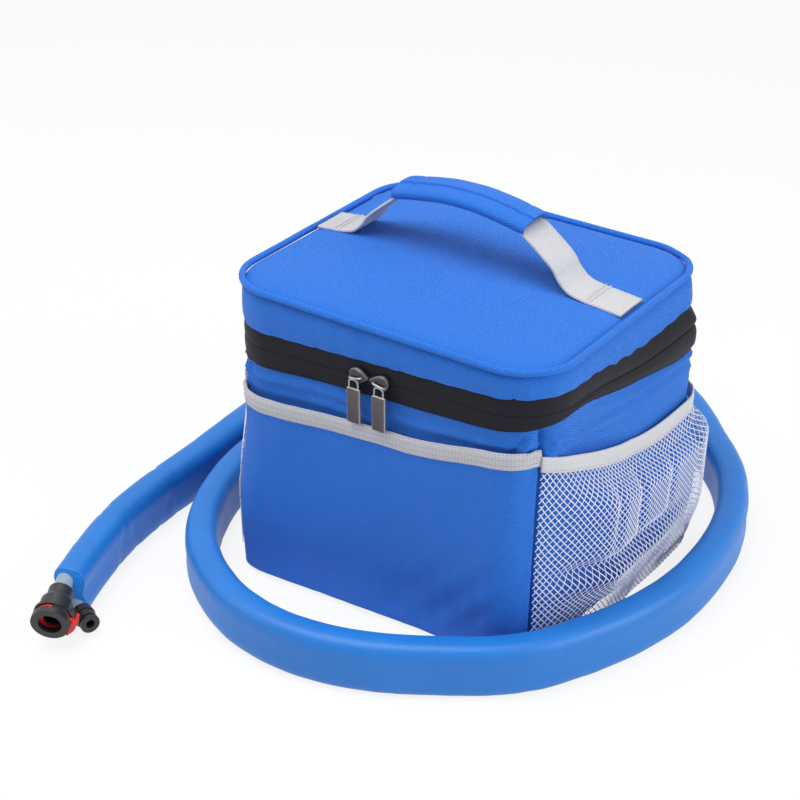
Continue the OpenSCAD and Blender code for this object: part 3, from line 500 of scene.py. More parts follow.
def smooth(points, steps):
    """A finer line through the given points, with no corners."""
    out = []
    last = len(points) - 1
    for i in range(last):
        a, b = points[max(i - 1, 0)], points[i]
        c, d = points[i + 1], points[min(i + 2, last)]
        for k in range(steps):
            t = k / steps
            out.append(0.5 * ((2 * b) + (c - a) * t + (2 * a - 5 * b + 4 * c - d) * t * t
                              + (3 * b - a - 3 * c + d) * t ** 3))
    out.append(points[last])
    return out


def wrinkle(point, scale, seed=0.0, octaves=3):
    """Smooth noise from about -1 to 1 at a place in metres."""
    where = Vector(point) * scale + Vector((seed, seed * 0.7, -seed))
    return noise.fractal(where, 1.0, 2.0, octaves)


def loft(name, sections, closed=False, ring=True, flat=None):
    """Skins a row of sections. A ring section is closed, and loose ends are capped."""
    count, size = len(sections), len(sections[0])
    vertices = [tuple(p) for section in sections for p in section]
    middles = [sum((Vector(p) for p in s), Vector()) / size for s in sections]
    along = [0.0]
    for a, b in zip(middles, middles[1:]):
        along.append(along[-1] + (b - a).length)
    along.append(along[-1] + (middles[0] - middles[-1]).length)
    across = []
    for section in sections:
        row = [0.0]
        for a, b in zip(section, section[1:]):
            row.append(row[-1] + (Vector(b) - Vector(a)).length)
        row.append(row[-1] + (Vector(section[0]) - Vector(section[-1])).length)
        across.append(row)
    faces, cloth = [], []
    for i in range(count if closed else count - 1):
        n = (i + 1) % count
        for j in range(size if ring else size - 1):
            m = (j + 1) % size
            faces.append((i * size + j, n * size + j, n * size + m, i * size + m))
            cloth += [(along[i], across[i][j]), (along[i + 1], across[n][j]),
                      (along[i + 1], across[n][j + 1]), (along[i], across[i][j + 1])]
    if ring and not closed:
        for first, order in ((0, range(size)), (count - 1, range(size - 1, -1, -1))):
            faces.append(tuple(first * size + j for j in order))
            cloth += [(along[first], across[first][j]) for j in order]
    if flat:
        cloth = [flat(vertices[v]) for face in faces for v in face]
    return mesh_piece(name, vertices, faces, cloth)


def mesh_piece(name, vertices, faces, cloth):
    """A smooth-shaded object with its place on the cloth kept at each corner."""
    mesh = bpy.data.meshes.new(name)
    mesh.from_pydata(vertices, [], faces)
    store = mesh.attributes.new("cloth", "FLOAT_VECTOR", "CORNER")
    store.data.foreach_set("vector", [x for u, v in cloth for x in (u, v, 0.0)])
    mesh.shade_smooth()
    mesh.update()
    piece = bpy.data.objects.new(name, mesh)
    bpy.context.scene.collection.objects.link(piece)
    return piece


def dress(piece, material, body, *nodes, slot=None):
    """Gives a piece its material and body, and the CAD nodes that it stands for.
    A piece that bends between two bodies has none of its own."""
    piece.data.materials.clear()
    piece.data.materials.append(material)
    if body:
        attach(piece, body)
    if nodes:
        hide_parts(*nodes)
    return piece


def coat(material, *nodes):
    """Gives CAD nodes a better material."""
    for name in nodes:
        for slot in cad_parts[name].material_slots:
            slot.material = material


def round_turns(across, up, sides):
    """Directions all the way round a rod."""
    turns = [2 * math.pi * k / sides for k in range(sides)]
    return [across * math.cos(turn) + up * math.sin(turn) for turn in turns]


def heading(line, i):
    """The direction of a line of points at one of them."""
    return (line[min(i + 1, len(line) - 1)] - line[max(i - 1, 0)]).normalized()


def wire(name, points, radius, sides=10):
    """A round rod along a line of points in millimetres."""
    line = smooth([Vector(p) for p in points], 5)
    rings = []
    up = None
    for i, point in enumerate(line):
        head = heading(line, i)
        across = head.orthogonal().normalized() if up is None else up.cross(head).normalized()
        up = head.cross(across)
        rings.append([(point + turn * radius) * MM for turn in round_turns(across, up, sides)])
    return loft(name, rings)


# The shape of one stitch: share of the pitch and share of the radius
STITCH = ((0.0, 0.25), (0.14, 1.0), (0.5, 1.1), (0.62, 1.0), (0.74, 0.25))


def stitch_row(name, line, radius, pitch):
    """Short stitches along a line of points in metres, each a plump thread with pointed ends."""
    vertices, faces = [], []
    travelled, due = 0.0, 0.0
    for a, b in zip(line, line[1:]):
        step = (b - a).length
        while due < travelled + step:
            start = a.lerp(b, (due - travelled) / step)
            head = (b - a).normalized()
            across = head.orthogonal().normalized()
            up = head.cross(across)
            base = len(vertices)
            for share, size in STITCH:
                vertices += [start + head * pitch * MM * share + turn * radius * size * MM
                             for turn in round_turns(across, up, 6)]
            for ring in range(len(STITCH) - 1):
                for k in range(6):
                    c, d = base + 6 * ring + k, base + 6 * ring + (k + 1) % 6
                    faces.append((c, d, d + 6, c + 6))
            due += pitch * MM
        travelled += step
    return mesh_piece(name, vertices, faces, [(0.0, 0.0)] * (4 * len(faces)))


# Width of one column of the cover's mesh, in millimetres
COLUMN = 1.3


class Outline:
    """Points round the bag's plan, from the middle of the back by way of the left side."""

    def __init__(self, step):
        bag = settings().bag
        w, d, r = bag.width / 2, bag.depth / 2, bag.corner
        runs = [("line", (0, d), (-(w - r), d)), ("arc", (-(w - r), d - r), 90),
                ("line", (-w, d - r), (-w, -(d - r))), ("arc", (-(w - r), -(d - r)), 180),
                ("line", (-(w - r), -d), (w - r, -d)), ("arc", (w - r, -(d - r)), 270),
                ("line", (w, -(d - r)), (w, d - r)), ("arc", (w - r, d - r), 0),
                ("line", (w - r, d), (0, d))]
        self.points, self.normals, self.places = [], [], []
        total = 2 * (2 * (w - r) + 2 * (d - r)) + 2 * math.pi * r
        run_start = 0.0
        for kind, a, b in runs:
            size = math.dist(a, b) if kind == "line" else math.pi * r / 2
            pieces = max(2, round(size / step))
            for k in range(pieces):
                t = k / pieces
                place = (run_start + size * t) / total
                if kind == "line":
                    across = Vector((b[0] - a[0], b[1] - a[1])).normalized()
                    point = (a[0] + (b[0] - a[0]) * t, a[1] + (b[1] - a[1]) * t)
                    normal = (across.y, -across.x)
                else:
                    angle = math.radians(b + 90 * t)
                    normal = (math.cos(angle), math.sin(angle))
                    point = (a[0] + r * normal[0], a[1] + r * normal[1])
                self.points.append(point)
                self.normals.append(normal)
                self.places.append(place)
            run_start += size
        self.total = total

    def at(self, i, outset, z):
        """A point in metres at column i, so far out from the stiff body and so high."""
        (x, y), (nx, ny) = self.points[i], self.normals[i]
        return slumped(x + nx * outset, y + ny * outset, z)

    def disc(self, i, outset, z, shares):
        """A row of points in metres from the outline to near the middle, in one plane."""
        (x, y), (nx, ny) = self.points[i], self.normals[i]
        return [slumped((x + nx * outset) * share, (y + ny * outset) * share, z) for share in shares]

    def seam_distance(self, i):
        """Distance in millimetres from the nearest upright seam in the bag's corners."""
        bag = settings().bag
        nx, ny = self.normals[i]
        turned = math.degrees(math.atan2(ny, abs(nx)))
        return math.radians(min(abs(turned + bag.front_seam), abs(turned - bag.rear_seam))) * bag.corner


def between(x, low, high):
    """Rises smoothly from 0 at low to 1 at high."""
    t = min(1.0, max(0.0, (x - low) / (high - low)))
    return t * t * (3 - 2 * t)


def bell(x, middle, width):
    """Rises to 1 at the middle and falls away over the width."""
    return math.exp(-((x - middle) / width) ** 2)


def slumped(x, y, z):
    """Where a point of the stiff bag, in millimetres, lies in metres once the cloth has slumped.

    The bag widens a little towards its lid, its front left foot is pushed out, and the zip
    line hangs lower on the left and in the middle of both sides.
    """
    bag = settings().bag
    half = bag.depth / 2
    x *= 1 + 0.026 * between(z, 50, 150) * (1 - between(y, 84, half))
    push = bag.push * between(-x, -40, 85) * between(-y, 20, 80) * (1 - between(z, 40, 125))
    x -= 0.7 * push
    y -= 0.7 * push
    drop = (0.054 * max(x, -78) - 1.6) * (1 - between(y, -half - 4, 10)) - bag.sag * bell(y, 5, 30) * (
        between(abs(x), 60, 100))
    drop *= 1 - between(y, 76, half - 1)
    drop *= between(z, 60, 125) * (1 - between(z, 172, 188))
    return Vector((x, y, z + drop)) * MM


# ------------------------------------------------------------------ hose and couplings

def hose_line():
    """The hose's middle line in metres, and its direction at each point."""
    line = smooth([Vector(p) * MM for p in ROUTE], 14)
    heads = [heading(line, i) for i in range(len(line))]
    heads[0] = Vector((0, 1, 0))
    heads[-1] = Vector((math.cos(END_ANGLE), math.sin(END_ANGLE), 0))
    return line, heads


# Creases across the flat face: distance from the cut end, lean and depth, in millimetres
HOSE_CREASES = [(58, 0.35, 0.9), (74, -0.25, 0.6), (112, 0.5, 1.0), (121, -0.1, 0.5)]


def hose_section(width, height, waist, sides=36):
    """A rounded oblong with a shallow groove along both flat faces, about its own middle."""
    out = []
    for k in range(sides):
        a = 2 * math.pi * k / sides
        c, s = math.cos(a), math.sin(a)
        power = 2 / 3.2
        x = width / 2 * math.copysign(abs(c) ** power, c)
        y = height / 2 * math.copysign(abs(s) ** power, s)
        x -= math.copysign(waist * math.exp(-(y / (height * 0.17)) ** 2), x) if abs(c) > 0.3 else 0
        out.append((x, y))
    return out


class THERAPY_OT_hose(bpy.types.Operator):
    """Builds the foam hose and finishes its tubes and couplings"""
    bl_idname = "therapy.hose"
    bl_label = "Hose"

    def execute(self, context):
        sizes = settings().hose
        line, heads = hose_line()
        up = Vector((0, 0, 1))
        rings = []
        run = 0.0
        whole = sum((b - a).length for a, b in zip(line, line[1:]))
        for i, (point, head) in enumerate(zip(line, heads)):
            run += (point - line[i - 1]).length if i else 0.0
            across = Vector((-head.y, head.x, 0)).normalized()
            dent = 1 + 0.012 * wrinkle(point, 26, 3.0, 2)
            # Towards the cut end the foam closes in between the two tubes
            pinch = sizes.waist + 1.7 * between(run, whole - 0.05, whole)
            ring = []
            for x, y in hose_section(sizes.thickness * MM, sizes.height * MM, pinch * MM):
                spot = point + across * x * dent + up * y
                crease = wrinkle(spot, 75, 8.0, 2) * 0.25
                for place, lean, depth in HOSE_CREASES:
                    here = (run - whole + place * MM) / MM + lean * y / MM
                    crease -= depth * bell(here, 0, 2.2) * between(abs(x), 0.003, 0.009)
                out = (across * x + up * y).normalized()
                spot = spot + out * crease * MM
                spot.z = max(spot.z, 0.0001)
                ring.append(spot)
            rings.append(ring)
        # The cut end rolls in a little over its last millimetre
        end, head = rings[-1], heads[-1]
        middle = line[-1]
        rings[-1] = [p - head * 0.9 * MM for p in end]
        for inset, forward in ((0.25, -0.3), (0.9, 0.0)):
            rings.append([p + head * forward * MM + (middle - p).normalized() * inset * MM for p in end])
        hose = loft("foam_hose", rings)
        dress(hose, finish_once("skinned_foam", hose_finish), "bag", "hose_sleeve", slot="hose_foam")
        hose.data.materials.append(finish_once("cut_foam", cut_foam_finish))
        hose.data.polygons[len(hose.data.polygons) - 1].material_index = 1

        coat(finish_once("clear_tube", tube_finish), "supply_tube_end", "return_tube_end",
             "supply_tube_inside", "return_tube_inside")
        coat(black_plastic(), "quick_coupling", "return_insert")
        coat(finish_once("red_latch", lambda name: moulded_finish(name, settings().colours.latch, 0.28)),
             "coupling_latch")
        coat(rubber(), "coupling_seal")
        return {"FINISHED"}


# ------------------------------------------------------------------ bag body

def swell(y, nx, z):
    """How far the full bag swells out at a height, in millimetres."""
    full = math.sin(math.pi * min(1, z / 150)) ** 0.7
    full_side = full + 0.62 * between(z, 100, 150) * between(y, -40, 60)
    end = 84 - 18 * between(z, 90, 115)
    sides = settings().bag.belly * abs(nx) * between(y, -70, 40) * (1 - between(y, end, end + 9)) * full_side
    # It presses into the nets at the rear of its sides
    press = 11.0 * abs(nx) * between(y, -30, 45) * (1 - between(y, 84, 91)) * (
        between(z, -12, 22) * (1 - between(z, 66, 112)))
    return 0.9 * full + sides + press


def body_outset(ring, i, z):
    """How far the cover stands out from the stiff body's outline, in millimetres."""
    bag = settings().bag
    (x, y), nx, place = ring.points[i], ring.normals[i][0], ring.places[i]
    foot = -bag.taper * (1 - between(z, 0, 120))
    spot = (x * MM, y * MM, z * MM)
    soft = bag.wrinkle * (0.7 * wrinkle(spot, 22, 1.0) + 0.35 * wrinkle(spot, 60, 5.0))
    low = bell(z, 22, 22) * 0.8 * wrinkle((place * 0.9, 0.0, z * MM * 0.6), 38, 9.0)
    # Rolls lie along the slack strip between the pocket and the zip
    rolls = bell(z, 139, 8) * (1.1 * math.sin(z * 0.72 + 5 * wrinkle((place, 0, 0), 5, 3.0))
                               + 0.5 * wrinkle((x * MM, y * MM, z * MM * 2.4), 48, 14.0))
    near = ring.seam_distance(i)
    seam = -2.6 * bell(near, 0, 1.3) - 1.3 * bell(near, 0, 5) + 1.5 * bell(near, 7, 4) * bell(z, 138, 14)
    gathers = 1.3 * bell(near, 9, 8) * bell(z, 140, 11) * math.sin(near * 0.7 + z * 0.55)
    calm = 1 - between(z, 144, 152)
    return foot + swell(y, nx, z) + (soft + rolls + gathers) * calm + seam * (1 - between(z, 150, 155)) + low


def plate(name, ring, outset, low, high):
    """A flat layer of the bag's floor, between two heights."""
    count = len(ring.points)
    columns = range(count)
    vertices = [tuple(ring.at(i, outset, z)) for z in (low, high) for i in columns]
    faces = [(i, (i + 1) % count, count + (i + 1) % count, count + i) for i in columns]
    faces += [tuple(reversed(columns)), tuple(range(count, 2 * count))]
    cloth = [vertices[v][:2] for face in faces for v in face]
    return mesh_piece(name, vertices, faces, cloth)


class THERAPY_OT_body(bpy.types.Operator):
    """Builds the soft cover of the bag and its fabric hinge"""
    bl_idname = "therapy.body"
    bl_label = "Bag body"

    def execute(self, context):
        bag = settings().bag
        ring = Outline(COLUMN)
        top = bag.zip_height - 0.4
        edge = [(-8, 0.25), (-4, 0.15), (-2.2, 0.2), (-1.0, 0.8), (-0.35, 1.9), (0, 3.6)]
        heights = [6 + (top - 8) * k / 66 for k in range(67)]
        sections = []
        for i in range(len(ring.points)):
            base = body_outset(ring, i, 4)
            section = ring.disc(i, base - 8, 0.5, (0.06, 0.3, 0.6, 0.85))
            section += [ring.at(i, base + out, z) for out, z in edge]
            section += [ring.at(i, body_outset(ring, i, z), z) for z in heights]
            section.append(ring.at(i, -0.1, top))
            section.append(ring.at(i, -1.1, top + 0.1))
            sections.append(section)
        body = loft("bag_cover", sections, closed=True, ring=False)
        close_middle(body, len(sections), len(sections[0]), first=True)
        dress(body, cover(), "bag", "bottom_panel", "front_panel", "back_panel", "left_panel",
              "right_panel", slot="bag_fabric")

        # The hinge runs from the body's back over the zip line to the lid
        rear = math.sin(math.radians(bag.rear_seam))
        back = [i for i, normal in enumerate(ring.normals) if normal[1] >= rear - 0.02]
        back = sorted(back, key=lambda i: (ring.places[i] + 0.5) % 1.0)
        sections = []
        for i in back:
            soft = 0.35 * wrinkle((ring.points[i][0] * MM, 0.0, 0.0), 60, 2.0)
            outer = [(148.2, 0.5), (149.4, 1.3), (153, 1.5), (157, 1.9 + soft), (160, 2.1 + soft),
                     (163, 1.9 + soft), (168, 1.6), (171.5, 1.5), (172.2, 1.2)]
            inner = [(172.2, 0.3), (166, 0.3), (160, 0.6), (154, 0.3), (148.2, 0.3)]
            sections.append([ring.at(i, out, z) for z, out in outer + inner])
        hinge = loft("fabric_hinge", sections)
        dress(hinge, cover(), None, "rear_hinge_strip", slot="bag_fabric")
        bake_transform(hinge)
        return {"FINISHED"}


# Broad soft folds across the pocket's lower right: place along the front, lean, width and depth
POCKET_FOLDS = ((52, 0.9, 8, 1.9), (74, 0.8, 7, 1.6), (26, 1.0, 9, 1.1))


class THERAPY_OT_front_pocket(bpy.types.Operator):
    """Builds the front pocket and its woven binding"""
    bl_idname = "therapy.front_pocket"
    bl_label = "Front pocket"

    def execute(self, context):
        bag = settings().bag
        ring = Outline(COLUMN)
        seam = -math.sin(math.radians(bag.front_seam))
        span = [i for i, normal in enumerate(ring.normals) if normal[1] <= seam]
        first, last = ring.places[span[0]], ring.places[span[-1]]

        def stand(i, z):
            """How far the pocket's outer face stands out."""
            x, y = ring.points[i]
            place = ring.places[i]
            side = min(place - first, last - place) * ring.total
            lift = between(side, 0, 14)
            mouth = between(z, 60, bag.pocket_top)
            spot = (x * MM, y * MM, z * MM)
            gape = 2.2 * bell(x, -70, 26) * mouth * lift
            soft = bag.wrinkle * (0.9 * wrinkle(spot, 20, 4.0) + 0.4 * wrinkle(spot, 52, 6.0))
            drape = bell(z, 26, 26) * wrinkle((place * 0.9, 0.0, z * MM * 0.5), 42, 12.0)
            fold = sum(depth * bell(x - (z - 30) * lean, at, width) * bell(z, 42, 30)
                       for at, lean, width, depth in POCKET_FOLDS)
            foot = -1.6 * (1 - between(z, 0, 40))
            return (max(1.2, body_outset(ring, i, z) + 0.8) * (1 - lift) + lift * (3.9 + 0.9 * mouth)
                    + gape + (soft + drape) * lift * 0.8 + foot - fold * lift)

        def spot_at(i, out, z):
            """A point on the pocket, whose mouth rises a little to the right."""
            x = ring.points[i][0]
            rise = 6.5 * between(x, 20, 88) - 1.2 * between(-x, 0, 60)
            return ring.at(i, stand(i, z) + out, z + rise * between(z, 50, 122))

        heights = [3.2 + (bag.pocket_top - 4.2) * k / 52 for k in range(53)]
        sections = []
        for i in span:
            section = [ring.at(i, stand(i, 3) - 2.5, 1.2)]
            section += [spot_at(i, 0.0, z) for z in heights]
            section.append(spot_at(i, -0.5, bag.pocket_top - 0.4))
            section += [spot_at(i, -1.0, z) for z in reversed(heights[-20:])]
            sections.append(section)
        pocket = loft("front_pocket_cover", sections)
        dress(pocket, cover(), "bag", "front_pocket", slot="bag_fabric")

        low, high = bag.pocket_top - bag.binding, bag.pocket_top
        sections = []
        for i in [span[0] - 1] + span + [span[-1] + 1]:
            place = ring.places[i]
            pucker = 0.18 * math.sin(place * ring.total / 2.6) * wrinkle((place, 0, 0), 40, 2.0)
            out = [(low, 0.05), (low + 0.3, 0.55), (low + 1.2, 0.75 + pucker), (low + 5, 0.85),
                   (high - 1.4, 0.8), (high - 0.3, 0.55), (high + 0.25, 0.0), (high + 0.2, -0.8),
                   (high - 0.5, -1.4), (high - 4, -1.5), (low + 1, -1.35), (low, -0.9)]
            sections.append([spot_at(i, o, z) for z, o in out])
        binding = loft("front_pocket_tape", sections)
        dress(binding, finish_once("herringbone_binding", lambda name: binding_finish(name, True)),
              "bag", "front_pocket_binding", slot="binding")
        return {"FINISHED"}


# ------------------------------------------------------------------ mesh pockets

def net_top(s):
    """Height of the net's mouth at a share of the way from front to rear."""
    net = settings().net
    return net.front + (net.rear - net.front) * s - net.sag * math.sin(math.pi * s)


def net_path(s):
    """Place and outward direction on the stiff bag's right side, in millimetres. The net runs
    from the seam in the front corner, along the side, to the seam in the rear corner."""
    bag = settings().bag
    front = bag.corner * math.radians(bag.front_seam)
    rear = bag.corner * math.radians(bag.rear_seam)
    side = bag.depth - 2 * bag.corner
    run = 0.3 + (front + side + rear - 1.3) * min(1.0, max(0.0, s))
    y = min(max(run - front, 0.0), side)
    turn = (run - front - y) / bag.corner
    nx, ny = math.cos(turn), math.sin(turn)
    return bag.width / 2 - bag.corner + bag.corner * nx, y - side / 2 + bag.corner * ny, nx, ny


# Folds that hang from a net's binding: share of the way to the rear and depth in millimetres
NET_FOLDS = ((0.30, 2.2), (0.46, 3.0), (0.66, 2.0))


def net_point(side, s, v, out=0.0, up=0.0):
    """A point of the net in metres: s from front to rear, v from foot to mouth."""
    net = settings().net
    x, y, nx, ny = net_path(s)
    s = min(1.0, max(0.0, s))
    loose = math.sin(math.pi * s)
    # Slack net folds over along a crease, with its meshes crowded just below
    crease = net.crease + 0.10 * s
    held = between(s, 0.02, 0.16) * (1 - between(s, 0.50, 0.80))
    v -= 0.035 * held * bell(v, crease - 0.09, 0.09)
    z = net.foot + (net_top(s) - net.foot) * v
    mouth = 0.34 + 0.66 * between(1 - v, 0.0, 0.20)
    hang = net.bulge * between(s, -0.02, 0.30) * (1 - between(s, 0.93, 1.0)) * mouth
    hang *= 0.6 + 0.4 * between(v, -0.05, 0.40)
    hang += held * (2.6 * bell(v, crease - 0.07, 0.05) - 4.2 * bell(v, crease + 0.02, 0.045))
    upper = between(v, 0.35, 0.7) * (1 - between(v, 0.84, 0.97))
    for at, depth in NET_FOLDS:
        hang -= depth * bell(s, at - 0.05 * (1 - v), 0.022) * upper
    hang += 1.4 * loose * wrinkle((s * 0.14, v * 0.05, side * 0.3), 42, 3.0, 2) * (1 - 0.5 * v)
    hang += 0.8 * loose * math.sin(s * 21 + v * 3) * (1 - v)
    out += 1.4 + max(0.0, hang, swell(y, nx, z) + 0.8 * loose)
    return slumped(side * (x + nx * out), y + ny * out, z + up)


def net_piece(name, side):
    """Two families of slanting cords, knitted together where they cross."""
    net = settings().net
    bag = settings().bag
    run = bag.depth - 2 * bag.corner + bag.corner * math.radians(bag.front_seam + bag.rear_seam)
    rise = (net.front + net.rear) / 2 - net.foot - net.sag / 2
    half = 2 * round(run / net.cell)
    rows = 2 * round(rise / (net.cell * 1.12))
    vertices, faces, cloth = [], [], []
    radius = net.cord / 2 * MM
    parts = 2

    def strand(points, outs, lift):
        base = len(vertices)
        for k, (point, out) in enumerate(zip(points, outs)):
            head = points[min(k + 1, len(points) - 1)] - points[max(k - 1, 0)]
            across = head.cross(out).normalized()
            for a, b in ((1, 0), (0, 1), (-1, 0), (0, -1)):
                vertices.append(point + across * a * radius + out * (b * 0.7 * radius + lift))
        for k in range(len(points) - 1):
            for j in range(4):
                m = (j + 1) % 4
                a, b = base + 4 * k, base + 4 * k + 4
                faces.append((a + j, b + j, b + m, a + m))
                cloth.extend([(0.0, 0.0)] * 4)

    for lean in (1, -1):
        for start in range(-rows, half + rows + 1, 2):
            line, outs = [], []
            for step in range(rows * parts + 1):
                j, t = divmod(step, parts)
                # A cord runs upright where it meets its neighbour and slants in between
                column = start + lean * (j + between(t / parts, -0.1, 1.1))
                if 0 <= column <= half:
                    share = column / half
                    nx, ny = net_path(share)[2:]
                    line.append(net_point(side, share, step / (rows * parts)))
                    outs.append(Vector((side * nx, ny, 0)))
            if len(line) > 1:
                strand(line, outs, lean * 0.15 * radius)
    return mesh_piece(name, vertices, faces, cloth)


class THERAPY_OT_mesh_pockets(bpy.types.Operator):
    """Builds the two side nets and their bindings"""
    bl_idname = "therapy.mesh_pockets"
    bl_label = "Mesh pockets"

    def execute(self, context):
        bag = settings().bag
        net_white = finish_once("net_cord", net_finish)
        tape = finish_once("plain_binding", lambda name: binding_finish(name, False))
        for word, side in (("left", -1), ("right", 1)):
            net = net_piece(word + "_net", side)
            dress(net, net_white, "bag", word + "_mesh_pocket", slot="net")
            sections = []
            steps = 130
            for k in range(steps + 1):
                s = k / steps
                lean = 0.7 * math.sin(math.pi * s)
                pucker = 0.2 * math.sin(k * 0.9) * wrinkle((s, 0, 0), 30, 2.0)
                section = []
                tall = bag.binding + 1.6 * math.sin(math.pi * s)
                for dz, out in ((0, 0.2), (0.4, 0.75), (1.4, 0.9 + pucker), (2.3, 0.7), (5, 1.0),
                                (tall - 1.6, 0.85), (tall - 0.4, 0.55), (tall, 0.0),
                                (tall - 0.4, -0.55), (5, -0.75), (0.4, -0.7), (0, -0.3)):
                    section.append(net_point(side, s, 1.0, out - lean * dz / bag.binding, dz))
                sections.append(section if side > 0 else section[::-1])
            binding = loft(word + "_net_tape", sections)
            dress(binding, tape, "bag", word + "_pocket_binding", slot="binding")
        return {"FINISHED"}


# ------------------------------------------------------------------ zip

class THERAPY_OT_zip(bpy.types.Operator):
    """Builds the coated zip tapes and finishes the sliders"""
    bl_idname = "therapy.zip"
    bl_label = "Zip"

    def execute(self, context):
        bag = settings().bag
        ring = Outline(2.0)
        rear = math.sin(math.radians(bag.rear_seam))
        span = [i for i, normal in enumerate(ring.normals) if normal[1] <= rear]
        middle = bag.zip_height
        tape = finish_once("coated_tape", tape_finish)

        lower, upper = [], []
        for i in span:
            x, y = ring.points[i]
            # Along the sides the slack tapes bow out and sink in again at the zip
            side = abs(ring.normals[i][0]) * between(y, -85, 10) * (1 - between(y, 66, 88))
            wave = wrinkle((x * MM, y * MM, 0.0), 30, 7.0)
            bow = 0.7 + 2.8 * side * between(y, -60, 50) + 0.35 * wave
            dip = 0.05 + 0.3 * side
            low = middle - 10.6 + 5.2 * bell(y, -52, 34) * between(x, 60, 100) + 0.4 * wave
            low -= 5.5 * between(y, 5, 50) * (1 - between(y, 66, 88)) + 1.6 * between(-x, 20, 80)
            deep = middle - low
            lower.append([ring.at(i, out + max(0.0, body_outset(ring, i, z)), z) for z, out in (
                (low - 0.2, 0.1), (low, 0.8), (low + 0.8, 1.2), (low + 0.25 * deep, 1.3 + 0.6 * bow),
                (low + 0.5 * deep, 1.3 + bow), (low + 0.72 * deep, 1.3 + bow),
                (middle - 1.6, 1.3 + 0.8 * bow), (middle - 0.8, 1.3 + 0.7 * bow - 0.5 * dip),
                (middle - 0.14, 1.3 + 0.6 * bow - dip), (middle - 0.13, 0.3), (middle - 6, 0.3))])
            high = settings().lid.band_bottom
            full = max(0.0, body_outset(ring, i, middle))
            more = 2.4 * side - full
            upper.append([ring.at(i, out + full + more * between(z, middle, high), z) for z, out in (
                (middle + 0.13, 0.3), (middle + 0.14, 1.3 + 0.6 * bow - dip),
                (middle + 0.8, 1.3 + 0.7 * bow - 0.5 * dip), (middle + 1.6, 1.3 + 0.8 * bow),
                (middle + 3.5, 1.3 + bow), (middle + 6, 1.3 + 0.8 * bow), (high - 2, 1.2 + 0.2 * bow),
                (high - 0.4, 1.0), (high + 0.6, 0.6), (high + 0.6, 0.2), (middle + 6, 0.3))])
        dress(loft("zip_tape_lower", lower), tape, "bag", "lower_zip_tape", "lower_zip_teeth",
              slot="zip_tape")
        dress(loft("zip_tape_upper", upper), tape, "lid", "upper_zip_tape", "upper_zip_teeth",
              slot="zip_tape")
        metal = finish_once("plated_zinc", lambda name: metal_finish(name, "metal", 0.26))
        # Lighter metal: the wires' own colour, and a painted highlight on the sliders' rims and the tabs'
        # edges
        loop_and_highlight_metal = finish_once("rim_metal", lambda name: metal_finish(name, "rim", 0.20))
        dull = finish_once("tab_metal", lambda name: metal_finish(name, "tab", 0.44))
        for word, side in (("left", -1), ("right", 1)):
            slider_pieces(word, side, metal, loop_and_highlight_metal)
            tab_pieces(word, dull, loop_and_highlight_metal)
        return {"FINISHED"}


def slider_pieces(word, side, metal, loop_and_highlight_metal):
    """A slider: two drop-shaped plates with a waist between them, and a bridge."""
    low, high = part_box(word + "_slider")
    middle = (Vector(low) + Vector(high)) / 2 / MM
    half = (high[0] - low[0]) / 2 / MM
    back = high[1] / MM
    rows = [(0.0, 0.90), (0.5, 1.0), (1.2, 1.0), (1.6, 0.84), (1.7, 0.70), (2.1, 0.70), (2.2, 0.90),
            (2.6, 1.0), (3.1, 0.97), (3.5, 0.86), (3.65, 0.70)]
    sections = []
    for depth, size in rows:
        section = []
        for k in range(40):
            turn = 2 * math.pi * k / 40
            along = math.cos(turn) * half * (1 - (1 - size) * 0.5)
            tall = math.sin(turn) * abs(math.sin(turn / 2)) * 5.4 * size
            section.append(Vector((middle.x - side * along, back - depth, middle.z + 0.6 + tall)) * MM)
        sections.append(section if side < 0 else section[::-1])
    dress(loft(word + "_slider_plates", sections), metal, word + "_slider", word + "_slider")
    # Painted highlight: a thin ring of the lighter metal round the plate's widest edge stands for the light
    # caught by the slider's rim
    rim = [(p / MM).to_tuple() for p in sections[7]]
    dress(wire(word + "_slider_rim", rim + rim[:1], 0.24, 6), loop_and_highlight_metal, word + "_slider", slot="slider_metal")
    x0, x1, face = middle.x - side * 2.6, middle.x + side * 5.0, back - 3.5
    dress(wire(word + "_slider_bridge", [
        (x0, face, middle.z + 0.6), (x0 + side * 0.4, face - 1.1, middle.z + 0.5),
        (x0 + side * 2.6, face - 1.5, middle.z + 0.1), (x1 - side * 1.6, face - 1.4, middle.z - 0.4),
        (x1, face - 0.9, middle.z - 0.8), (x1 + side * 0.2, face + 0.6, middle.z - 0.8)], 0.62),
        loop_and_highlight_metal, word + "_slider", slot="slider_metal")


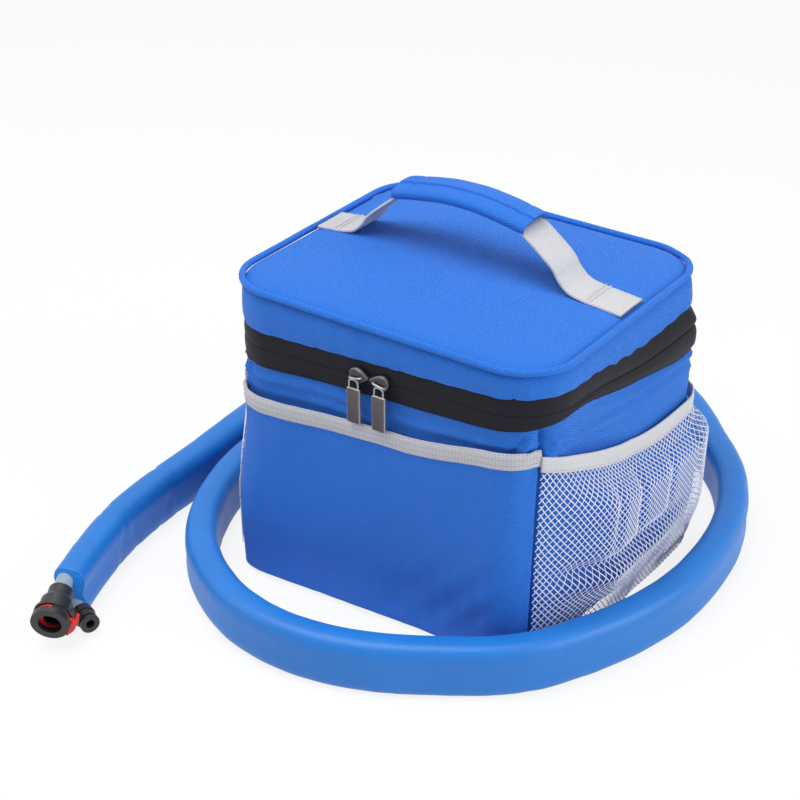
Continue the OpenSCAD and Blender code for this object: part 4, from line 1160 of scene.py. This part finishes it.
def tab_pieces(word, dull, loop_and_highlight_metal):
    """A pull tab: a flat plate whose rounded edges carry a painted highlight, hung from a wire loop."""
    low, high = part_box(word + "_pull_tab")
    x, y = (low[0] + high[0]) / 2 / MM, (low[1] + high[1]) / 2 / MM
    width, bottom, corner = (high[0] - low[0]) / MM, low[2] / MM, 0.9
    ring = high[2] / MM - 4.4
    top = ring - 1.3
    sections = []
    for depth, inset in ((0.8, 0.45), (0.55, 0.0), (-0.55, 0.0), (-0.8, 0.45)):
        section = []
        for sx, sz, start in ((1, -1, 270), (1, 1, 0), (-1, 1, 90), (-1, -1, 180)):
            cz = bottom + corner if sz < 0 else top - corner
            for k in range(7):
                turn = math.radians(start + 15 * k)
                section.append(Vector((x + sx * (width / 2 - corner) + (corner - inset) * math.cos(turn),
                                       y + depth, cz + (corner - inset) * math.sin(turn))) * MM)
        sections.append(section)
    plate_piece = loft(word + "_tab_plate", sections)
    dress(plate_piece, dull, word + "_pull_tab", word + "_pull_tab", slot="slider_metal")
    # Painted highlight: the bevels and side faces round the plate take the lighter metal; only the two flat
    # faces keep the tab's own colour
    plate_piece.data.materials.append(loop_and_highlight_metal)
    for polygon in plate_piece.data.polygons[:-2]:
        polygon.material_index = 1
    dress(wire(word + "_tab_loop", [
        (x - 2.9, y, top - 0.6), (x - 3.0, y, ring + 1.2), (x - 2.4, y - 0.2, ring + 3.4),
        (x, y - 0.3, ring + 4.3), (x + 2.4, y - 0.2, ring + 3.4), (x + 3.0, y, ring + 1.2),
        (x + 2.9, y, top - 0.6)], 0.55),
        loop_and_highlight_metal, word + "_pull_tab", slot="slider_metal")


# ------------------------------------------------------------------ lid

# Pleats in the lid band's lower seam: place along the front and depth, in millimetres
PLEATS = [(9, 0.7), (18, 0.9), (-38, 0.4), (86, 0.8), (93, 1.0), (99, 0.7)]


class THERAPY_OT_lid(bpy.types.Operator):
    """Builds the padded lid, its puckered side band, its piping and its lining"""
    bl_idname = "therapy.lid"
    bl_label = "Lid"

    def execute(self, context):
        bag, lid = settings().bag, settings().lid
        ring = Outline(COLUMN)
        low, high = lid.band_bottom, lid.band_top

        sections = []
        for i, place in enumerate(ring.places):
            x, y = ring.points[i]
            run = place * ring.total
            gather = math.sin(run / 2.4 + 1.7 * wrinkle((place, 0, 0), 9, 3.0)) * (
                0.5 + 0.5 * wrinkle((place, 0, 0), 16, 8.0))
            # A few sharper pleats are sewn into the lower seam in front
            pleats = sum(depth * bell(x, at, 1.3) for at, depth in PLEATS) if y < -bag.depth / 2 + 4 else 0.0
            section = []
            for z in (low - 0.3, low, low + 0.8, low + 2, low + 4, low + 7, low + 10, low + 13, high - 1.6,
                      high - 0.5, high + 0.4):
                t = (z - low) / (high - low)
                dip = 0.5 * math.exp(-max(0, t) * 9) + 2.3 * math.exp(-max(0, 1 - t) * 11)
                swell = 2.4 * abs(ring.normals[i][0]) * between(y, -40, 50) * (1 - between(y, 70, 88))
                pucker = 0.5 * gather * math.exp(-max(0, t) * 3.2) - pleats * math.exp(-max(0, t) * 4.5)
                soft = 0.6 * wrinkle((x * MM, y * MM, z * MM), 26, 2.0)
                section.append(ring.at(i, lid.proud + 0.3 - dip + pucker + soft + swell * (1.2 - t), z))
            section.append(ring.at(i, lid.proud - 3.6, high))
            section.append(ring.at(i, -1.9, low + 2))
            section.append(ring.at(i, -1.9, bag.zip_height + 0.4))
            section.append(ring.at(i, -0.1, bag.zip_height + 0.35))
            section.append(ring.at(i, -0.05, low - 1.2))
            sections.append(section)
        band = loft("lid_band_cover", sections, closed=True)
        dress(band, cover(), "lid", "lid_side_band", slot="bag_fabric")

        # Corded piping: a round tube with a fine twist, on a seam
        radius = lid.piping / 2
        centre_z = high + radius - 0.3
        sections = []
        for i, place in enumerate(ring.places):
            x, y = ring.points[i]
            wave = 0.22 * wrinkle((x * MM, y * MM, 0), 34, 11.0, 2)
            section = []
            for k in range(14):
                a = 2 * math.pi * k / 14 - math.pi / 2
                r = radius * (1 + 0.02 * math.sin(place * ring.total * 1.9 + 2 * a))
                section.append(ring.at(i, 1.8 + wave * 0.6 + r * math.cos(a),
                                       centre_z + wave * 0.5 + r * math.sin(a)))
            sections.append(section)
        piping = loft("lid_piping_cord", sections, closed=True)
        dress(piping, cover(), "lid", "lid_piping", slot="bag_fabric")

        # The padded top, laid out flat for its weave
        shares = [1.0, 0.995, 0.985, 0.97, 0.95, 0.925, 0.89, 0.85] + [0.8 - 0.05 * k for k in range(16)]
        edge = lid.edge
        sections = []
        for i in range(len(ring.points)):
            section = []
            rim = ring.at(i, -0.5, edge - 2.8)
            section.append(rim)
            for share in shares:
                spot = Vector((rim.x * share, rim.y * share, 0))
                rise = 1 - share * share
                pad = 2.5 * (1 - math.exp(-(1 - share) * 36)) - 0.6
                soft = 0.34 * wrinkle(spot, 30, 6.0) + 0.12 * wrinkle(spot, 90, 9.0)
                gather = 0.20 * math.exp(-(1 - share) * 22) * wrinkle(spot, 140, 4.0)
                spot.z = (edge - 1.2 + pad + (lid.crown - 1.0) * rise + soft * (1 - share ** 12)
                          + gather) * MM
                section.append(spot)
            sections.append(section)
        top = loft("lid_top_cover", sections, closed=True, ring=False, flat=lambda p: (p[0], p[1]))
        close_middle(top, len(sections), len(sections[0]))
        dress(top, cover(), "lid", "lid_top_panel", slot="bag_fabric")

        film = finish_once("liner_film", film_finish)
        rows = [1.0, 0.97, 0.9, 0.8, 0.65, 0.5, 0.3, 0.12]
        sections = []
        z = high - 8.0
        for i in range(len(ring.points)):
            rim = ring.at(i, -2.4, z)
            section = [rim]
            for share in rows:
                spot = Vector((rim.x * share, rim.y * share, 0))
                spot.z = (z - 0.8 - 0.5 * (1 - share) + 0.25 * wrinkle(spot, 40, 3.0)) * MM
                section.append(spot)
            sections.append(section[::-1])
        lining = loft("lid_lining_film", sections, closed=True, ring=False, flat=lambda p: (p[0], p[1]))
        close_middle(lining, len(sections), len(sections[0]), first=True)
        dress(lining, film, "lid", "lid_lining", slot="liner")
        coat(finish_once("white_foam", lambda name: foam_finish(name, (0.85, 0.85, 0.83))), "lid_foam")
        return {"FINISHED"}


def close_middle(piece, columns, size, first=False):
    """Fills the small hole in the middle of a skin whose columns meet there."""
    import bmesh
    mesh = piece.data
    work = bmesh.new()
    work.from_mesh(mesh)
    work.verts.ensure_lookup_table()
    rim = [work.verts[i * size + (0 if first else size - 1)] for i in range(columns)]
    face = work.faces.new(rim)
    face.smooth = True
    layer = work.loops.layers.float_vector.get("cloth")
    for loop in face.loops:
        loop[layer] = Vector((loop.vert.co.x, loop.vert.co.y, 0))
    face.normal_update()
    beside = next(other for other in rim[0].link_faces if other is not face)
    if face.normal.dot(beside.normal) < 0:
        face.normal_flip()
    work.to_mesh(mesh)
    work.free()


# ------------------------------------------------------------------ handle

def strap_piece(name, line, width, thickness, middle_y):
    """A flat strap along a line of (x, z) points in millimetres, thickness upwards."""
    points = smooth([Vector((x, 0, z)) for x, z in line], 6)
    sections = []
    for i, point in enumerate(points):
        head = heading(points, i)
        up = Vector((-head.z, 0, head.x))
        section = []
        edge = thickness * 0.5
        for y, h in ((-width / 2, edge * 0.5), (-width / 2 + 0.5, 0.0), (0, 0.0), (width / 2 - 0.5, 0.0),
                     (width / 2, edge * 0.5), (width / 2, edge * 1.5), (width / 2 - 0.6, thickness),
                     (width / 4, thickness * 0.97), (0, thickness * 0.97), (-width / 4, thickness * 0.97),
                     (-width / 2 + 0.6, thickness), (-width / 2, edge * 1.5)):
            section.append((point + up * h + Vector((0, middle_y - y, 0))) * MM)
        sections.append(section)
    return loft(name, sections)


def dome(x):
    """Height of the lid's top at a distance from its middle, in millimetres."""
    bag, lid = settings().bag, settings().lid
    share = x / (bag.width / 2 - 1.3)
    return lid.edge + lid.crown * (1 - share * share)


# Distance of the webbing's ends from the lid's middle, and the lengths of its sewn feet
STRAP_END = 104
FEET = (("left", -1, 16), ("right", 1, 24))
# Height of the sleeve's ends above the edge of the lid's top, and the rise of its arch
SLEEVE_RISE = 35.6
ARCH = 6


class THERAPY_OT_handle(bpy.types.Operator):
    """Builds the webbing and the padded sleeve"""
    bl_idname = "therapy.handle"
    bl_label = "Handle"

    def execute(self, context):
        lid = settings().lid
        grey = finish_once("webbing_weave", webbing_finish)
        sleeve_z = lid.edge + SLEEVE_RISE
        half = lid.sleeve_length / 2
        for word, side, foot in FEET:
            end = lid.sleeve_x + side * (half - 4)
            bend = 100 - foot
            flat = [STRAP_END - foot * k / 3 for k in range(4)]
            line = [(side * x, dome(x) + 0.4) for x in flat]
            line += [(side * (bend - 6), dome(bend - 6) + 2), (side * (bend - 13), dome(bend - 13) + 7.5),
                     (side * (bend - 19), dome(bend - 19) + 15), (end, sleeve_z - 1)]
            if side > 0:
                line = line[::-1]
            strap = strap_piece(word + "_webbing", line, lid.webbing, lid.webbing_thickness, lid.handle_y)
            dress(strap, grey, None, "handle_strap_" + word, slot="webbing")
            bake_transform(strap)
            for inset in (5, 8):
                x = bend + inset
                height = dome(x) + 0.7 + lid.webbing_thickness
                row = [Vector((side * x, lid.handle_y + y, height)) * MM for y in (-11.5, 11.5)]
                stitches = stitch_row(f"{word}_foot_stitches_{inset}", row, 0.3, 2.8)
                dress(stitches, grey, "lid", slot="webbing")

        steps = 72
        sections = []
        outline = pad_outline(lid.sleeve_width / 2, lid.sleeve_height / 2)
        for k in range(steps + 1):
            t = k / steps
            x = lid.sleeve_x - half + lid.sleeve_length * t
            z = sleeve_z + ARCH * math.sin(math.pi * t)
            slope = ARCH * math.pi / lid.sleeve_length * math.cos(math.pi * t)
            head = Vector((1, 0, slope)).normalized()
            up = Vector((-head.z, 0, head.x))
            near = min(t, 1 - t) * lid.sleeve_length
            full = (0.93 + 0.07 * between(near, 0, 3)) * (1 - 0.15 * bell(near, 10, 0.9))
            section = []
            for y, h in outline:
                spot = Vector((x, lid.handle_y + y * (0.98 + 0.02 * full), z)) + up * h * full
                spot += Vector((0, 0, 1)) * 0.3 * wrinkle(spot * MM, 45, 2.0)
                section.append(spot * MM)
            sections.append(section)
        # Both ends are cut square and turn in round the webbing
        for end, inward in ((0, 1), (-1, -1)):
            rim = sections[end]
            middle = sum(rim, Vector()) / len(rim)
            for forward, size in ((0.0, 0.93), (1.2, 0.80), (4.0, 0.74)):
                inner = [middle + (p - middle) * size + Vector((inward * forward * MM, 0, 0)) for p in rim]
                sections.insert(0 if end == 0 else len(sections), inner)
        sleeve = loft("handle_pad", sections)
        dress(sleeve, cover(), "handle_grip", "handle_sleeve", slot="bag_fabric")
        return {"FINISHED"}


def pad_outline(half_width, half_height):
    """The padded sleeve's section: a flat wrap whose top layer laps over from behind."""
    lap = -0.2 * half_width
    tops = [1.0, 0.985, 0.95, 0.88, 0.78, 0.64, 0.45, 0.25, 0.05, -0.12, -0.17, -0.195, -0.205, -0.225,
            -0.28, -0.45, -0.64, -0.78, -0.88, -0.95, -0.985]
    rows = []
    for share in tops:
        y = share * half_width
        height = half_height * (1 - abs(share) ** 3.4) ** (1 / 2.6)
        rows.append((y, height + 1.3 * between(y, lap - 0.25, lap + 0.25) * (1 - share ** 6) - 0.4))
    for share in reversed(tops):
        y = share * half_width
        rows.append((y, -half_height * (1 - abs(share) ** 3.4) ** (1 / 2.6) * 0.94 - 0.001))
    return rows


# ------------------------------------------------------------------ inside and fittings

class THERAPY_OT_inside(bpy.types.Operator):
    """Builds the liner and finishes the foam, the board and the pump"""
    bl_idname = "therapy.inside"
    bl_label = "Inside"

    def execute(self, context):
        ring = Outline(2.5)
        film = finish_once("liner_film", film_finish)
        columns = range(len(ring.points))
        top = settings().bag.zip_height - 0.3
        sections = []
        for i in columns:
            x, y = ring.points[i]
            section = [ring.at(i, -1.4, top - 1.0), ring.at(i, -1.5, top), ring.at(i, -5.0, top + 0.1),
                       ring.at(i, -8.2, top), ring.at(i, -8.7, top - 0.8)]
            for k in range(28):
                z = top - 3 - (top - 18) * k / 27
                soft = 0.35 * wrinkle((x * MM, y * MM, z * MM), 34, 5.0)
                section.append(ring.at(i, -8.8 - abs(soft) * 0.8, z))
            section += [ring.at(i, -9.3, 12.6), ring.at(i, -10.5, 11.2)]
            section += ring.disc(i, -13, 10.85, (1.0, 0.75, 0.5, 0.25, 0.06))
            sections.append(section[::-1])
        liner = loft("liner_tub", sections, closed=True, ring=False)
        close_middle(liner, len(sections), len(sections[0]), first=True)
        for polygon in liner.data.polygons:
            polygon.flip()
        liner.data.update()
        dress(liner, film, "bag", "water_liner", slot="liner")

        foam = finish_once("white_foam", lambda name: foam_finish(name, (0.85, 0.85, 0.83)))
        heights = [4.2 + (top - 6) * k / 24 for k in range(25)]
        sections = [[ring.at(i, min(-3.2, body_outset(ring, i, z) - 2.8), z) for z in heights]
                    + [ring.at(i, -7.9, z) for z in reversed(heights)] for i in columns]
        dress(loft("wall_padding", sections, closed=True), foam, "bag", "wall_foam", slot="insulation")
        dress(plate("floor_padding", ring, -8.0, 4.1, 9.9), foam, "bag", "floor_foam", slot="insulation")
        board = finish_once("fibre_board", lambda name: foam_finish(name, (0.35, 0.27, 0.18)))
        dress(plate("floor_board", ring, -5.6, 1.6, 3.9), board, "bag", "base_board", slot="base_board")
        coat(black_plastic(), "pump_housing", "pump_strainer")
        coat(rubber(), "pump_feet")
        coat(finish_once("white_moulding", lambda name: moulded_finish(name, (0.75, 0.75, 0.73), 0.35)),
             "pump_impeller")
        coat(finish_once("ceramic_rod", lambda name: moulded_finish(name, (0.82, 0.81, 0.77), 0.15)),
             "pump_shaft")
        coat(finish_once("ferrite", lambda name: moulded_finish(name, (0.05, 0.05, 0.052), 0.5)),
             "pump_magnet")

        line = smooth([Vector(p) * MM for p in LEAD], 6)
        rings = []
        for i, point in enumerate(line):
            head = heading(line, i)
            across = head.cross(Vector((1, 1, 0))).normalized()
            rings.append([point + turn * LEAD_RADIUS * MM
                          for turn in round_turns(across, head.cross(across), 12)])
        lead = loft("pump_lead_jacket", rings)
        dress(lead, rubber(), "bag", "pump_lead", slot="rubber")
        return {"FINISHED"}


class THERAPY_OT_fittings(bpy.types.Operator):
    """Finishes the hose port and the power inlet on the back"""
    bl_idname = "therapy.fittings"
    bl_label = "Fittings"

    def execute(self, context):
        coat(black_plastic(), "hose_port", "port_lock_plate", "power_inlet")
        coat(finish_once("nickel_nut", lambda name: moulded_finish(name, (0.5, 0.5, 0.5), 0.3)),
             "power_inlet_nut")
        return {"FINISHED"}


# ------------------------------------------------------------------ stage

EYE = (0.5387, -0.8367, 0.6659)
LOOK_AT = (-0.0396, -0.0108, 0.0955)
LENS = 85.5
FLOOR_REACH = 6.0
# Strength of the light from all round, and how far the floor lights itself
ROOM_LIGHT = 0.28
PAPER_GLOW = 0.85
# Name, place in metres, size in metres and power in watts
LAMPS = (("key", (-0.25, -0.35, 1.7), 1.3, 26.0),
         ("left", (-1.3, -0.9, 0.8), 0.8, 4.0),
         ("right", (1.5, 0.15, 0.75), 0.9, 14.0))


def area_light(name, place, target, size, power):
    """A soft square lamp that looks at a point."""
    light = bpy.data.lights.new(name, "AREA")
    light.size = size
    light.energy = power
    lamp = bpy.data.objects.new(name, light)
    lamp.location = place
    lamp.rotation_euler = (Vector(target) - Vector(place)).to_track_quat("-Z", "Y").to_euler()
    bpy.context.scene.collection.objects.link(lamp)
    return lamp


def direct_rays(tree):
    """1 for what the camera sees itself, in a mirror or through something clear."""
    rays = tree.nodes.new("ShaderNodeLightPath")
    found = rays.outputs["Is Camera Ray"]
    for name in ("Is Glossy Ray", "Is Transmission Ray"):
        either = tree.nodes.new("ShaderNodeMath")
        either.operation = "MAXIMUM"
        tree.links.new(found, either.inputs[0])
        tree.links.new(rays.outputs[name], either.inputs[1])
        found = either.outputs[0]
    return found


def white_paper(name):
    """A white floor that lights itself for the eye, and still takes the object's shadow."""
    f = Finish(name)
    mottle = f.noise(f.place(), 8.0, 2.0)
    paper = f.node("ShaderNodeBsdfDiffuse", {}, {
        "Color": f.blend(mottle, (0.90, 0.90, 0.90), (0.93, 0.93, 0.93))})
    glow = f.node("ShaderNodeEmission", {}, {"Color": (1.0, 1.0, 1.0, 1.0), "Strength": 1.0})
    share = Value(f, direct_rays(f.tree)) * PAPER_GLOW
    mixed = f.node("ShaderNodeMixShader", {}, {0: share, 1: paper, 2: glow})
    f.tree.links.new(mixed.socket, f.output.inputs["Surface"])
    return f.material


class THERAPY_OT_stage(bpy.types.Operator):
    """Builds the floor, the light and the camera"""
    bl_idname = "therapy.stage"
    bl_label = "Stage"

    def execute(self, context):
        scene = context.scene
        scene.view_settings.view_transform = "Standard"
        camera = bpy.data.cameras.new("camera")
        camera.lens = LENS
        camera.sensor_width = 36.0
        camera.clip_start = 0.01
        camera.dof.use_dof = False
        eye = bpy.data.objects.new("camera", camera)
        eye.location = EYE
        look = Vector(LOOK_AT) - eye.location
        eye.rotation_euler = look.to_track_quat("-Z", "Y").to_euler()
        scene.collection.objects.link(eye)
        scene.camera = eye

        floor_mesh = bpy.data.meshes.new("floor")
        corners = [(x * FLOOR_REACH, y * FLOOR_REACH, 0) for x, y in ((-1, -1), (1, -1), (1, 1), (-1, 1))]
        floor_mesh.from_pydata(corners, [], [(0, 1, 2, 3)])
        floor = bpy.data.objects.new("floor", floor_mesh)
        floor.location.z = -0.0002
        scene.collection.objects.link(floor)
        floor_mesh.materials.append(white_paper("floor_paper"))

        world = bpy.data.worlds.new("studio")
        scene.world = world
        world.use_nodes = True
        tree = world.node_tree
        tree.nodes.clear()
        output = tree.nodes.new("ShaderNodeOutputWorld")
        mixer = tree.nodes.new("ShaderNodeMixShader")
        glow = tree.nodes.new("ShaderNodeBackground")
        glow.inputs["Color"].default_value = (0.95, 0.97, 1.0, 1.0)
        glow.inputs["Strength"].default_value = ROOM_LIGHT
        seen = tree.nodes.new("ShaderNodeBackground")
        seen.inputs["Color"].default_value = (1.0, 1.0, 1.0, 1.0)
        seen.inputs["Strength"].default_value = 1.0
        tree.links.new(direct_rays(tree), mixer.inputs[0])
        tree.links.new(glow.outputs[0], mixer.inputs[1])
        tree.links.new(seen.outputs[0], mixer.inputs[2])
        tree.links.new(mixer.outputs[0], output.inputs["Surface"])

        for name, place, size, power in LAMPS:
            area_light(name, place, (0, 0, 0.1), size, power)
        return {"FINISHED"}


class THERAPY_PT_panel(bpy.types.Panel):
    """Lists the settings and the steps"""
    bl_idname = "THERAPY_PT_panel"
    bl_label = "Therapy bag"
    bl_space_type = "VIEW_3D"
    bl_region_type = "UI"
    bl_category = "Therapy bag"

    def draw(self, context):
        layout = self.layout
        bag = context.scene.therapy_bag
        for group in (bag.bag, bag.lid, bag.hose, bag.net, bag.colours):
            box = layout.box()
            for name in group.bl_rna.properties.keys():
                if name not in ("rna_type", "name"):
                    box.prop(group, name)
        for step in STEPS:
            layout.operator(step.bl_idname)


STEPS = (
    THERAPY_OT_stage, THERAPY_OT_hose, THERAPY_OT_body, THERAPY_OT_front_pocket,
    THERAPY_OT_mesh_pockets, THERAPY_OT_zip, THERAPY_OT_lid, THERAPY_OT_handle,
    THERAPY_OT_inside, THERAPY_OT_fittings,
)
GROUPS = (BagSizes, LidSizes, HoseSizes, NetSizes, Colours, TherapyBag)


def register():
    for group in GROUPS:
        bpy.utils.register_class(group)
    bpy.types.Scene.therapy_bag = bpy.props.PointerProperty(type=TherapyBag)
    for step in STEPS:
        bpy.utils.register_class(step)
    bpy.utils.register_class(THERAPY_PT_panel)


def unregister():
    bpy.utils.unregister_class(THERAPY_PT_panel)
    for step in reversed(STEPS):
        bpy.utils.unregister_class(step)
    del bpy.types.Scene.therapy_bag
    for group in reversed(GROUPS):
        bpy.utils.unregister_class(group)


def main():
    register()
    bpy.ops.therapy.stage()
    bpy.ops.therapy.hose()
    bpy.ops.therapy.body()
    bpy.ops.therapy.front_pocket()
    bpy.ops.therapy.mesh_pockets()
    bpy.ops.therapy.zip()
    bpy.ops.therapy.lid()
    bpy.ops.therapy.handle()
    bpy.ops.therapy.inside()
    bpy.ops.therapy.fittings()


if __name__ == "__main__":
    main()
